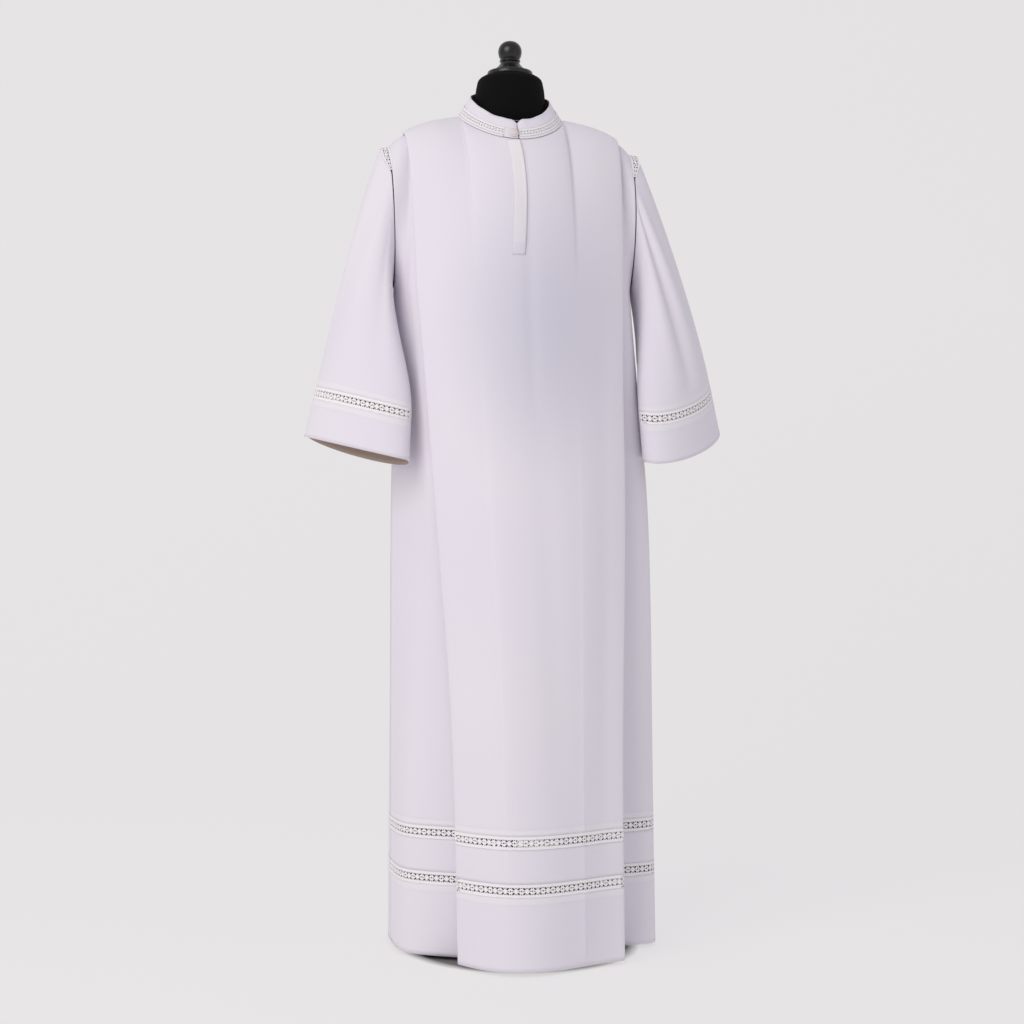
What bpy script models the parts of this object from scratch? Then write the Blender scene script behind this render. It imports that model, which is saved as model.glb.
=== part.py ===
"""An alb, a white vestment with lace insertions, worn by a limbless dress form on a pole.

Metres, +Z up. The origin is on the floor under the pole, and the front of the robe faces -Y. Every
cloth piece is a wall of even thickness around a middle surface, which is worked out from the short
tables below. Run it with blender --background --python part.py, or from Blender's text editor.
"""

import math
from collections import namedtuple

import bpy
import numpy as np

# Thicknesses and gaps
CLOTH = 0.0012
LACE = 0.0012
SEAM_GAP = 0.0003
STRIP = 0.0010

# Heights above the floor
HEM_Z = 0.006
HEM_BAND = 0.115
LACE_BAND = 0.018
PLAIN_BAND = 0.055
UNDERARM_Z = 1.085
LOWER_LACE_Z = HEM_Z + HEM_BAND
PLAIN_BAND_Z = LOWER_LACE_Z + LACE_BAND
UPPER_LACE_Z = PLAIN_BAND_Z + PLAIN_BAND
BODY_END_Z = UPPER_LACE_Z + LACE_BAND

# Shoulders: the seam from the neck to the shoulder point, and the pleat that starts on it
NECK_X = 0.0865
SHOULDER_X = 0.203
PLEAT_X = 0.178
TUCK_X = 0.1246
SHOULDER_FOLD = 0.00175
HEM_FOLD = 0.0050
Shoulder = namedtuple("Shoulder", "x z")
SHOULDER_SEAM = (
    Shoulder(0.0865, 1.3730),
    Shoulder(0.140, 1.3620),
    Shoulder(0.178, 1.3450),
    Shoulder(0.190, 1.3350),
    Shoulder(0.203, 1.3180),
)

# Level sections of the robe below the underarm. centre is how far the cloth has swung to +X, and
# each reach is a distance from the pole, forwards for the front and backwards for the back.
# fold: the outer fold of the pleat. bulge, skew: how the panel between the folds rounds out.
# tuck: the inner fold. near, hip: the side cloth behind the fold, and where it turns the corner.
Section = namedtuple(
    "Section",
    "z centre fold_x fold_reach_l fold_reach_r bulge skew tuck_x tuck_reach"
    " near_reach_l near_reach_r hip_x_l hip_x_r hip_reach seam_x seam_y",
)
FRONT = (
    Section(1.085, 0.004, 0.170, 0.080, 0.080, 0.060, 0.0, 0.119, 0.102, 0.070, 0.070, 0.185, 0.188, 0.045, 0.199, 0.000),
    Section(0.930, 0.008, 0.162, 0.095, 0.096, 0.056, 0.1, 0.108, 0.114, 0.080, 0.079, 0.176, 0.196, 0.050, 0.203, 0.003),
    Section(0.730, 0.014, 0.154, 0.113, 0.118, 0.055, 0.2, 0.098, 0.122, 0.090, 0.086, 0.178, 0.206, 0.055, 0.212, 0.010),
    Section(0.360, 0.018, 0.136, 0.150, 0.160, 0.060, 0.5, 0.088, 0.130, 0.110, 0.094, 0.196, 0.207, 0.064, 0.216, 0.020),
    Section(0.000, 0.018, 0.130, 0.173, 0.193, 0.064, 0.7, 0.085, 0.135, 0.120, 0.090, 0.202, 0.212, 0.068, 0.215, 0.030),
)
BACK = (
    Section(1.085, 0.004, 0.160, 0.088, 0.088, 0.036, 0.0, 0.112, 0.098, 0.076, 0.076, 0.188, 0.188, 0.050, 0.199, 0.000),
    Section(0.930, 0.008, 0.155, 0.100, 0.100, 0.045, 0.0, 0.104, 0.108, 0.086, 0.086, 0.190, 0.190, 0.060, 0.203, 0.003),
    Section(0.730, 0.014, 0.150, 0.112, 0.112, 0.052, 0.0, 0.096, 0.113, 0.094, 0.094, 0.196, 0.196, 0.070, 0.212, 0.010),
    Section(0.360, 0.018, 0.142, 0.132, 0.132, 0.058, 0.0, 0.092, 0.115, 0.100, 0.100, 0.203, 0.203, 0.086, 0.216, 0.020),
    Section(0.000, 0.018, 0.138, 0.150, 0.150, 0.060, 0.0, 0.090, 0.118, 0.104, 0.104, 0.205, 0.209, 0.098, 0.215, 0.030),
)
FACES = {"front": (-1.0, FRONT), "back": (1.0, BACK)}

# How each column of cloth leaves its top edge, by its place across there, and arrives at the
# underarm, as shares of the way between
Start = namedtuple("Start", "x out drop")
STARTS = (
    Start(0.0000, 1.50, 0.75),
    Start(0.0865, 2.00, 0.36),
    Start(0.1246, 2.10, 0.15),
    Start(0.1780, 2.30, 0.06),
)
ARRIVE_OUT = 0.25
ARRIVE_DROP = 1.35
ARMHOLE_HALF_WIDTH = 0.050

# Columns of the cloth across one half, and its rows
PANEL_SHARES = (0.0, 0.182, 0.338, 0.444, 0.50, 0.70, 0.86, 1.0)
COVERED_COLUMNS = 9
SIDE_SHARES = (0.20, 0.42, 0.62, 0.82, 1.0)
TOP_SHARES = (0.0, 0.11, 0.25, 0.42, 0.61, 0.80)
BODY_LEVELS = (UNDERARM_Z, 0.98, 0.86, 0.72, 0.56, 0.39, BODY_END_Z)

# Collar: its foot and its top edge, each a bent oval
COLLAR_FOOT_X = 0.0850
COLLAR_TOP_X = 0.0652
NOTCH_HALF_WIDTH = 0.009
NOTCH_DEPTH = 0.007
COLLAR_GAP = 0.0010
NECKLINE_GAP = 0.0022
COLLAR_COLUMNS = 28
COLLAR_LACE_LOW = 0.10
COLLAR_LACE_HIGH = 0.46
EDGING_LOW = 0.010
EDGING_HIGH = 0.085
COLLAR_LACE_ENDS = (0.0015, 0.0190)

# Placket, button and loop
PLACKET_LEFT = -0.0200
PLACKET_RIGHT = 0.0010
PLACKET_END_Z = 1.128
PLACKET_BOW = 0.006
BUTTON_RADIUS = 0.0072
BUTTON_X = -0.0085
LOOP_RADIUS = 0.0007
LOOP_SIDES = 6

# Sleeves: the armhole insertion, and the flattened ring of the cuff. outer is the cuff's outer back
# corner, inner its inner front corner, and front_bow and back_bow how far its two faces stand off.
# The insertion is full width for a short way down from the shoulder and ends at ARMHOLE_LACE_END,
# as a share of the way to the underarm. SLEEVE_FALL is how steeply a sleeve leaves the armhole.
SLEEVE_FALL = -0.30
ARMHOLE_LACE = 0.012
ARMHOLE_LACE_END = 0.30
ARMHOLE_LACE_TAPER = 0.20
SLEEVE_COLUMNS = 30
SLEEVE_ROWS = (0.0, 0.08, 0.18, 0.32, 0.49, 0.67, 0.84, 1.0)
CUFF_BAND = 0.065
CUFF_OUTER = (0.345, 0.050)
CUFF_INNER = (0.198, -0.100)
CUFF_SWING = 0.0135
FRONT_BOW = 0.050
BACK_BOW = 0.036
SLEEVE_FOLD_SHARE = 0.74
SLEEVE_CLEAR = 0.004
ARMHOLE_GAP = 0.0016
Cuff = namedtuple("Cuff", "side word outer_z inner_z front_drop back_drop")
CUFFS = (
    Cuff(-1.0, "left", 0.841, 0.800, -0.006, 0.018),
    Cuff(1.0, "right", 0.866, 0.798, 0.012, 0.000),
)

# Lace: one cut gap to each repeat
LACE_REPEAT = 0.0185
GAP_HALF_WIDTH = 0.0042
GAP_FOOT = 0.28
GAP_TIP = 0.76

# Dress form
Level = namedtuple("Level", "z half_width front back")
FORM_LEVELS = (
    Level(0.620, 0.120, 0.070, 0.075),
    Level(0.632, 0.142, 0.088, 0.094),
    Level(0.720, 0.164, 0.098, 0.108),
    Level(0.840, 0.160, 0.092, 0.094),
    Level(0.940, 0.150, 0.086, 0.080),
    Level(1.050, 0.160, 0.094, 0.086),
    Level(1.140, 0.166, 0.096, 0.084),
    Level(1.210, 0.162, 0.084, 0.074),
    Level(1.265, 0.156, 0.068, 0.062),
    Level(1.300, 0.150, 0.060, 0.054),
    Level(1.325, 0.138, 0.054, 0.048),
    Level(1.345, 0.116, 0.050, 0.046),
    Level(1.360, 0.084, 0.052, 0.050),
    Level(1.378, 0.0600, 0.055, 0.0560),
    Level(1.407, 0.0580, 0.0575, 0.0605),
    Level(1.425, 0.0555, 0.0555, 0.0625),
    Level(1.437, 0.0510, 0.0510, 0.0540),
    Level(1.4415, 0.0440, 0.0440, 0.0450),
)
FORM_COLUMNS = 24
NECK_TOP_Z = 1.4415
DISC_RADIUS = 0.0378
DISC_HEIGHT = 0.0095
TURNED_SIDES = 20
POLE_RADIUS = 0.0125
BASE_RADIUS = 0.130
BASE_HEIGHT = 0.014

Turn = namedtuple("Turn", "radius z")


def unit(vector):
    return vector / np.linalg.norm(vector)


def smooth_at(rows, column, place, along="z"):
    """Reads a named column of a table at any place, on a smooth curve through its rows."""
    rows = sorted(rows, key=lambda row: getattr(row, along))
    places = np.array([getattr(row, along) for row in rows])
    values = np.array([getattr(row, column) for row in rows])
    place = min(max(place, places[0]), places[-1])
    chord = np.diff(values) / np.diff(places)
    slope = np.concatenate([chord[:1], (chord[:-1] + chord[1:]) / 2, chord[-1:]])
    slope[1:-1] = np.where(chord[:-1] * chord[1:] <= 0, 0.0, slope[1:-1])
    i = min(int(np.searchsorted(places, place, side="right")) - 1, len(chord) - 1)
    step = places[i + 1] - places[i]
    return hermite(
        values[i], slope[i] * step, values[i + 1], slope[i + 1] * step, (place - places[i]) / step
    )


def hermite(start, leave, end, arrive, share):
    """The point this share of the way along a curve with the given ends and end directions."""
    s2 = share * share
    s3 = s2 * share
    return (
        (2 * s3 - 3 * s2 + 1) * start
        + (s3 - 2 * s2 + share) * leave
        + (3 * s2 - 2 * s3) * end
        + (s3 - s2) * arrive
    )


def spline(points, shares):
    """Points at the given shares of the length of a smooth curve through the given points."""
    points = np.asarray(points, float)
    ahead = np.vstack([2 * points[0] - points[1], points, 2 * points[-1] - points[-2]])
    dense = []
    for i in range(1, len(ahead) - 2):
        leave = (ahead[i + 1] - ahead[i - 1]) / 2
        arrive = (ahead[i + 2] - ahead[i]) / 2
        for share in np.linspace(0, 1, 12, endpoint=False):
            dense.append(hermite(ahead[i], leave, ahead[i + 1], arrive, share))
    return along(np.vstack([dense, points[-1]]), shares)


def along(line, shares):
    """Points at the given shares of a polyline's length."""
    lengths = np.concatenate([[0], np.cumsum(np.linalg.norm(np.diff(line, axis=0), axis=1))])
    return np.stack(
        [np.interp(np.asarray(shares) * lengths[-1], lengths, line[:, k]) for k in range(line.shape[1])],
        axis=1,
    )


def fold(point, travel, inward, radius):
    """Three points that turn the cloth back under itself, travelling in the given direction."""
    return [point, point + radius * (inward + travel), point + 2 * radius * inward]


def inward_of(travel, face):
    """The direction square to the travel that points into the robe."""
    square = np.array([-travel[1], travel[0]])
    return square if square[1] * -face > 0 else -square


def half_section(rows, face, side, z):
    """One half of a level section: the panel out to its fold, the tuck behind it, and the side."""

    def value(name):
        return smooth_at(rows, name, z)

    hand = "l" if side < 0 else "r"
    radius = SHOULDER_FOLD + (HEM_FOLD - SHOULDER_FOLD) * (1 - z / UNDERARM_Z)
    fold_x = value("fold_x")
    reach_l = value("fold_reach_l")
    reach_r = value("fold_reach_r")
    panel = []
    for share in PANEL_SHARES:
        across = side * share
        edge = (reach_l * (1 - across) + reach_r * (1 + across)) / 2
        bulge = value("bulge") * (1 - across**2) * (1 - value("skew") * across)
        panel.append(np.array([across * fold_x, face * (edge + bulge)]))
    travel = unit(panel[-1] - panel[-2])
    outer = fold(panel[-1], travel, inward_of(travel, face), radius)
    tuck = np.array([side * value("tuck_x"), face * value("tuck_reach")])
    back = unit(tuck - outer[-1])
    inner = fold(tuck, back, inward_of(back, face), radius)
    near = np.array([side * fold_x, face * value("near_reach_" + hand)])
    hip = np.array([side * value("hip_x_" + hand), face * value("hip_reach")])
    seam = np.array([side * value("seam_x"), value("seam_y")])
    beyond = seam + np.array([0, -face * 0.05])
    edge = spline([inner[-1], near, hip, seam, beyond], np.linspace(0, 1, 61))
    cut = edge[: 1 + int(np.argmin(np.linalg.norm(edge - seam, axis=1)))]
    sides = along(np.vstack([cut[:-1], seam]), SIDE_SHARES)
    middle = (outer[-1] + inner[0]) / 2
    points = panel + outer[1:] + [middle] + inner + list(sides)
    centre = np.array([value("centre"), 0.0])
    return [point + centre for point in points]


def level_row(word, z):
    """A whole level section of the front or the back, from its seam at -X to its seam at +X."""
    face, rows = FACES[word]
    left = half_section(rows, face, -1.0, z)
    right = half_section(rows, face, 1.0, z)
    row = np.array(left[::-1] + right[1:])
    row[[0, -1], 1] += face * SEAM_GAP / 2
    return np.column_stack([row, np.full(len(row), z)])


def shoulder_z(x):
    return smooth_at(SHOULDER_SEAM, "z", abs(x), "x")


def collar_point(angle, share):
    """A point of the collar's middle surface, share 0 at its foot and 1 at its top edge."""
    c = math.cos(angle)
    s = math.sin(angle)
    foot = np.array([COLLAR_FOOT_X * s, -0.0800 * c - 0.0050 * c * c, 1.3730 - 0.033 * c - 0.016 * c * c])
    top = np.array([COLLAR_TOP_X * s, -0.0645 * c - 0.0010 * c * c, 1.4040 - 0.0335 * c - 0.0125 * c * c])
    return foot + (top - foot) * share


def neckline_point(x, face):
    """A point of the neckline just outside and below the collar's foot."""
    angle = math.asin(min(1.0, abs(x) / NECK_X))
    angle = angle if face < 0 else math.pi - angle
    foot = collar_point(angle, 0.0)
    out = unit(foot - collar_point(angle, 1.0))
    return np.array([math.copysign(foot[0], x), foot[1], foot[2]]) + np.array(
        [math.copysign(out[0], x), out[1], out[2]]
    ) * NECKLINE_GAP


def top_half(face, side):
    """The top edge of one half: along the neckline, out along the shoulder seam, and the pleat."""
    down = np.array([0.0, 0.0, -1.0])
    seam_y = face * SEAM_GAP / 2
    panel = []
    for share in PANEL_SHARES:
        x = share * PLEAT_X
        if x < NECK_X:
            point = neckline_point(x, face)
        else:
            point = np.array([x, seam_y, shoulder_z(x)])
        panel.append(point)
    travel = unit(panel[-1] - np.array([TUCK_X, seam_y, shoulder_z(TUCK_X)]))
    outer = fold(panel[-1], travel, down, SHOULDER_FOLD)
    tuck = np.array([TUCK_X, seam_y, shoulder_z(TUCK_X) - 2 * SHOULDER_FOLD])
    inner = fold(tuck, -travel, down, SHOULDER_FOLD)
    sides = []
    for share in SIDE_SHARES:
        x = TUCK_X + (SHOULDER_X - TUCK_X) * share
        under = 4 * SHOULDER_FOLD * min(1.0, (SHOULDER_X - x) / (SHOULDER_X - PLEAT_X))
        sides.append(np.array([x, seam_y, shoulder_z(x) - under]))
    x = (PLEAT_X + TUCK_X) / 2
    middle = np.array([x, seam_y, shoulder_z(x) - 2 * SHOULDER_FOLD])
    points = panel + outer[1:] + [middle] + inner + sides
    return [point * np.array([side, 1, 1]) for point in points]


def column_ends(word):
    """For each column, its top point, its underarm point and the directions it has there."""
    face, _ = FACES[word]
    left = top_half(face, -1.0)
    right = top_half(face, 1.0)
    top = np.array(left[::-1] + right[1:])
    under = level_row(word, UNDERARM_Z)
    middle = len(top) // 2
    side_start = middle - len(SIDE_SHARES)
    leave = []
    arrive = []
    for i, (start, end) in enumerate(zip(top, under)):
        away = abs(i - middle)
        way = end - start
        out = np.interp(abs(start[0]), [row.x for row in STARTS], [row.out for row in STARTS])
        drop = np.interp(abs(start[0]), [row.x for row in STARTS], [row.drop for row in STARTS])
        first = way * np.array([1.0, out, drop])
        last = way * np.array([0.6, ARRIVE_OUT, ARRIVE_DROP])
        if away > side_start:
            share = SIDE_SHARES[away - side_start - 1]
            out = 4 * ARMHOLE_HALF_WIDTH * face
            first = first * (1 - share) + np.array([0.0, out, -0.10]) * share
            last = last * (1 - share) + np.array([0.0, -out, -0.20]) * share
        leave.append(first)
        arrive.append(last)
    return top, np.array(leave), under, np.array(arrive)


def lay_under(word, row, ends, share):
    """Lays the tuck under the panel, in a row this share of the way down to the underarm, and the
    side cloth between the tuck and the armhole."""
    face, _ = FACES[word]
    top, leave, under, arrive = ends
    way = (6 * share**2 - 6 * share) * (top - under)
    way = way + (3 * share**2 - 4 * share + 1) * leave + (3 * share**2 - 2 * share) * arrive
    inward = np.column_stack([face * way[:, 2], -face * way[:, 1]])
    inward /= np.linalg.norm(inward, axis=1, keepdims=True)
    middle = len(row) // 2
    blend = share * share * (3 - 2 * share)
    for side in (-1, 1):
        panel = middle + side * np.arange(len(PANEL_SHARES))

        def at_x(across, values, place):
            return np.interp(side * place, side * across[panel, 0], values[panel])

        for column in panel[-1] + side * np.arange(1, COVERED_COLUMNS + 1):
            high = at_x(top, top[:, 2], top[column, 0]) - top[column, 2]
            low = at_x(under, face * under[:, 1], under[column, 0]) - face * under[column, 1]
            depth = high + (low - high) * blend
            x = row[column, 0]
            row[column, 1] = at_x(row, row[:, 1], x) + at_x(row, inward[:, 0], x) * depth
            row[column, 2] = at_x(row, row[:, 2], x) + at_x(row, inward[:, 1], x) * depth
        start = panel[-1] + side * COVERED_COLUMNS
        column = start + side
        edge = column + side
        high = top[column] - (top[start] + top[edge]) / 2
        low = under[column] - (under[start] + under[edge]) / 2
        row[column] = (row[start] + row[edge]) / 2 + high + (low - high) * blend


def body_grid(word):
    """The middle surface of the front or back, from its top edge down to the upper lace."""
    ends = column_ends(word)
    rows = [hermite(*ends, share) for share in TOP_SHARES]
    for share, row in zip(TOP_SHARES[1:], rows[1:]):
        lay_under(word, row, ends, share)
    rows += [level_row(word, z) for z in BODY_LEVELS[:-1]]
    rows.append(level_row(word, BODY_END_Z + SEAM_GAP / 2))
    return np.array(rows)


def armhole_point(side, turn):
    """A point of the body's armhole edge. turn is 0 at the shoulder, 1 at the underarm in front,
    and 2 at the shoulder again behind."""
    word = "front" if turn <= 1 else "back"
    share = turn if turn <= 1 else 2 - turn
    top, leave, under, arrive = column_ends(word)
    i = -1 if side > 0 else 0
    point = hermite(top[i], leave[i], under[i], arrive[i], share)
    return point - np.array([0, FACES[word][0] * SEAM_GAP / 2, 0]) * (share in (0, 1))


def grid_normals(grid, round_it):
    """Directions square to a grid's surface at each of its points."""
    if round_it:
        across = np.roll(grid, -1, axis=1) - np.roll(grid, 1, axis=1)
    else:
        across = np.gradient(grid, axis=1)
    down = np.gradient(grid, axis=0) if len(grid) > 1 else np.zeros_like(grid)
    normal = np.cross(across, down)
    return normal / np.linalg.norm(normal, axis=2, keepdims=True)


def flattened(normals, row=None, column=None, axis=2):
    """Normals with one component taken out along a row or column, so that an edge there is flat."""
    part = normals[row] if row is not None else normals[:, column]
    part[:, axis] = 0
    part /= np.linalg.norm(part, axis=1, keepdims=True)
    return normals


def wall_mesh(name, grid, normals, thickness, round_it=False, cells=None):
    """A closed wall around a grid. cells gives the columns that have a gap cut in each."""
    rows, columns = grid.shape[:2]
    faces = []
    inner = rows * columns
    points = list((grid + normals * thickness / 2).reshape(-1, 3))
    points += list((grid - normals * thickness / 2).reshape(-1, 3))
    spans = columns if round_it else columns - 1

    def at(row, column, wall):
        return row * columns + column % columns + wall * inner

    def add(loop, wall):
        """Adds a face as triangles, the same ones in both walls, so that the walls stay apart."""
        for second, third in zip(loop[1:], loop[2:]):
            faces.append([loop[0], second, third] if wall == 0 else [third, second, loop[0]])

    for row in range(rows - 1):
        for column in range(spans):
            corners = [(row, column), (row, column + 1), (row + 1, column + 1), (row + 1, column)]
            a, b, c, d = (grid[r, k % columns] for r, k in corners)
            if cells and column in cells:
                ring = []
                for wall in (0, 1):
                    a, b, c, d = (np.asarray(points[at(r, k, wall)]) for r, k in corners)
                    loop = [at(r, k, wall) for r, k in corners]
                    gap = gap_corners(a, b, c, d, column % 2 == 0)
                    start = len(points)
                    points.extend(gap)
                    hole = [start, start + 1, start + 2]
                    ring.append(hole)
                    for face in gap_faces(loop, hole, column % 2 == 0):
                        add(face, wall)
                for k in range(3):
                    follow = (k + 1) % 3
                    faces.append([ring[0][k], ring[0][follow], ring[1][follow], ring[1][k]])
                continue
            if np.linalg.norm(a - c) > np.linalg.norm(b - d):
                corners = corners[1:] + corners[:1]
            for wall in (0, 1):
                add([at(r, k, wall) for r, k in corners], wall)
    for column in range(spans):
        for row, flip in ((0, 1), (rows - 1, 0)):
            loop = [at(row, column, 0), at(row, column + 1, 0), at(row, column + 1, 1), at(row, column, 1)]
            faces.append(loop[::-1] if flip else loop)
    if not round_it:
        for row in range(rows - 1):
            for column, flip in ((0, 0), (columns - 1, 1)):
                loop = [at(row, column, 0), at(row + 1, column, 0), at(row + 1, column, 1), at(row, column, 1)]
                faces.append(loop[::-1] if flip else loop)
    mesh = bpy.data.meshes.new(name)
    mesh.from_pydata([tuple(map(float, point)) for point in points], [], faces)
    return mesh


def gap_corners(a, b, c, d, tip_up):
    """The three corners of a lace gap inside a cell with top corners a, b and bottom corners c, d."""
    width = np.linalg.norm(b - a)
    half = min(GAP_HALF_WIDTH / width, 0.32)

    def inside(across, up):
        low = d + (c - d) * across
        high = a + (b - a) * across
        return low + (high - low) * up

    if tip_up:
        return [inside(0.5, GAP_TIP), inside(0.5 + half, GAP_FOOT), inside(0.5 - half, GAP_FOOT)]
    return [inside(0.5, 1 - GAP_TIP), inside(0.5 - half, 1 - GAP_FOOT), inside(0.5 + half, 1 - GAP_FOOT)]


def gap_faces(loop, hole, tip_up):
    """The faces between a cell's four corners and the three corners of its gap."""
    a, b, c, d = loop
    tip, second, third = hole
    if tip_up:
        return [[a, b, tip], [b, c, second, tip], [c, d, third, second], [d, a, tip, third]]
    return [[c, d, tip], [d, a, second, tip], [a, b, third, second], [b, c, tip, third]]


def put(name, mesh, material, smooth=True):
    """Puts a mesh in the scene as a named object with its material."""
    mesh.validate()
    mesh.update()
    thing = bpy.data.objects.new(name, mesh)
    bpy.context.scene.collection.objects.link(thing)
    mesh.materials.append(material)
    if smooth:
        mesh.shade_smooth()
        mesh.set_sharp_from_angle(angle=math.radians(40))
    return thing


def material_of(name, colour, roughness, metallic=0.0):
    material = bpy.data.materials.new(name)
    material.use_nodes = True
    shader = material.node_tree.nodes["Principled BSDF"]
    shader.inputs["Base Color"].default_value = (*colour, 1.0)
    shader.inputs["Roughness"].default_value = roughness
    shader.inputs["Metallic"].default_value = metallic
    material.diffuse_color = (*colour, 1.0)
    return material


def outward(grid, normals, centre):
    """Turns the normals round if they point towards the centre line instead of away from it."""
    away = grid - np.asarray(centre)
    away[:, :, 2] = 0
    return normals if (away * normals).sum() > 0 else -normals


def cloth_wall(name, grid, normals, material, thickness=CLOTH, round_it=False, cells=None):
    """Makes a wall whose faces point out, whichever way its grid runs."""
    mesh = wall_mesh(name, grid, normals, thickness, round_it, cells)
    if signed_volume(mesh) < 0:
        mesh.flip_normals()
    return put(name, mesh, material)


def signed_volume(mesh):
    """Six times the volume that the faces enclose, negative where they point inwards."""
    mesh.calc_loop_triangles()
    points = [np.array(vertex.co) for vertex in mesh.vertices]
    corners = [[points[i] for i in triangle.vertices] for triangle in mesh.loop_triangles]
    return sum(a @ np.cross(b, c) for a, b, c in corners)


def make_body(material):
    """Front and back, each with its two pleats. Returns their middle surfaces and normals."""
    made = {}
    for word, (face, _) in FACES.items():
        grid = body_grid(word)
        normals = grid_normals(grid, False)
        if normals[len(grid) // 2, grid.shape[1] // 2, 1] * face < 0:
            normals = -normals
        for row in range(len(TOP_SHARES), len(grid)):
            flattened(normals, row=row, axis=2)
        seam = np.abs(grid[0, :, 0]) > NECK_X
        normals[0, seam, 1] = 0
        normals[0, seam] /= np.linalg.norm(normals[0, seam], axis=1, keepdims=True)
        for column in (0, -1):
            flattened(normals[len(TOP_SHARES):], column=column, axis=1)
        cloth_wall(word, grid, normals, material)
        made[word] = (grid, normals)
    return made


def band_columns(word):
    """Shares of a section's length where a lace repeat starts or a fold turns, and the cells of
    lace that are flat enough to have a gap."""
    row = level_row(word, PLAIN_BAND_Z)
    steps = np.linalg.norm(np.diff(row, axis=0), axis=1)
    lengths = np.concatenate([[0], np.cumsum(steps)])
    middle = len(row) // 2
    outer = len(PANEL_SHARES) - 1
    folds = [outer, outer + 2, outer + 4, outer + 6]
    stops = [middle - i for i in reversed(folds)] + [middle + i for i in folds]
    stops = [0.0] + [lengths[i] for i in stops] + [lengths[-1]]
    places = [0.0]
    cut = set()
    for i, (start, end) in enumerate(zip(stops, stops[1:])):
        turning = i in (1, 3, 5, 7)
        repeats = 1 if turning else max(1, round((end - start) / LACE_REPEAT))
        if not turning:
            cut |= set(range(len(places) - 1, len(places) - 1 + repeats))
        places += list(np.linspace(start, end, repeats + 1)[1:])
    return np.array(places) / lengths[-1], cut


def make_bands(cloth, lace):
    """The two hem laces with the plain band between them, and the hem band, front and back."""
    gaps = 0
    for word, (face, _) in FACES.items():
        shares, flat = band_columns(word)
        half = SEAM_GAP / 2
        bands = (
            ("hem_band", (HEM_Z, LOWER_LACE_Z - half), cloth, False),
            ("lower_lace", (LOWER_LACE_Z + half, PLAIN_BAND_Z - half), lace, True),
            ("plain_band", (PLAIN_BAND_Z + half, UPPER_LACE_Z - half), cloth, False),
            ("upper_lace", (UPPER_LACE_Z + half, BODY_END_Z - half), lace, True),
        )
        for name, levels, material, cut in bands:
            grid = np.array([along(level_row(word, z), shares) for z in reversed(levels)])
            normals = grid_normals(grid, False)
            if normals[0, grid.shape[1] // 2, 1] * face < 0:
                normals = -normals
            for row in (0, 1):
                flattened(normals, row=row, axis=2)
            flattened(normals, column=0, axis=1)
            flattened(normals, column=-1, axis=1)
            cells = flat if cut else None
            gaps += len(cells) if cut else 0
            cloth_wall(f"{name}_{word}", grid, normals, material, LACE if cut else CLOTH, cells=cells)
    return gaps


def collar_angles(start_x, end_x):
    """Even angles round the collar, from start_x at the right of the opening to end_x at its left."""
    start = math.asin(start_x / COLLAR_TOP_X)
    end = 2 * math.pi - math.asin(end_x / COLLAR_TOP_X)
    even = np.linspace(0, 2 * math.pi, COLLAR_COLUMNS + 1)
    between = [angle for angle in even if start + 0.04 < angle < end - 0.04]
    return np.array([start, *between, end])


def collar_grid(low, high, rows, lift=0.0, ends=(COLLAR_GAP / 2, COLLAR_GAP / 2), notched=False):
    """A stretch of the collar's surface between two shares of its height, moved out by lift."""
    angles = collar_angles(*ends)
    shares = np.linspace(high, low, rows)
    grid = np.array([[collar_point(angle, share) for angle in angles] for share in shares])
    if notched:
        off = np.where(np.cos(angles) > 0, COLLAR_TOP_X * np.abs(np.sin(angles)), 1.0)
        dip = np.clip(1 - off / NOTCH_HALF_WIDTH, 0, None) ** 1.5 * NOTCH_DEPTH
        grid[:, :, 2] -= shares[:, None] * dip
    normals = outward(grid, grid_normals(grid, False), (0, 0, 0))
    return grid + normals * lift, normals


def make_collar(cloth, lace):
    """The stand collar, open at the front, with its lace band and the edging at its foot."""
    grid, normals = collar_grid(0.0, 1.0, 3, notched=True)
    cloth_wall("collar", grid, normals, cloth)
    over = CLOTH / 2 + 2 * SEAM_GAP + STRIP / 2
    grid, normals = collar_grid(COLLAR_LACE_LOW, COLLAR_LACE_HIGH, 2, over, COLLAR_LACE_ENDS)
    cloth_wall("collar_lace", grid, normals, lace, STRIP)
    grid, normals = collar_grid(EDGING_LOW, EDGING_HIGH, 2, over, COLLAR_LACE_ENDS)
    cloth_wall("collar_edging", grid, normals, cloth, STRIP)


def front_point(made, x, z):
    """A point of the front's middle panel and its normal, at a given place across and height."""
    grid, normals = made["front"]
    middle = grid.shape[1] // 2
    found = []
    for column in (middle - 1, middle, middle + 1):
        order = np.argsort(grid[:, column, 2])
        heights = grid[order, column, 2]
        found.append(
            [np.interp(z, heights, grid[order, column, k]) for k in range(3)]
            + [np.interp(z, heights, normals[order, column, k]) for k in range(3)]
        )
    found = np.array(found)
    order = np.argsort(found[:, 0])
    place = np.array([np.interp(x, found[order, 0], found[order, k]) for k in range(6)])
    return place[:3], unit(place[3:])


def make_placket(made, cloth):
    """The fly strip down the chest, which lies on the front's own surface."""
    top_z = made["front"][0][0, made["front"][0].shape[1] // 2, 2] - 0.0012
    over = CLOTH / 2 + 3 * SEAM_GAP + STRIP / 2
    rows = []
    for share in np.linspace(0, 1, 11):
        z = top_z + (PLACKET_END_Z - top_z) * share
        bow = PLACKET_BOW * math.sin(math.pi * share**0.75)
        row = []
        for x in (PLACKET_LEFT, (PLACKET_LEFT + PLACKET_RIGHT) / 2, PLACKET_RIGHT):
            point, normal = front_point(made, x + bow, z)
            row.append(np.concatenate([point + normal * over, normal]))
        rows.append(row)
    rows = np.array(rows)
    cloth_wall("placket", rows[:, :, :3], rows[:, :, 3:], cloth, STRIP)


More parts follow.
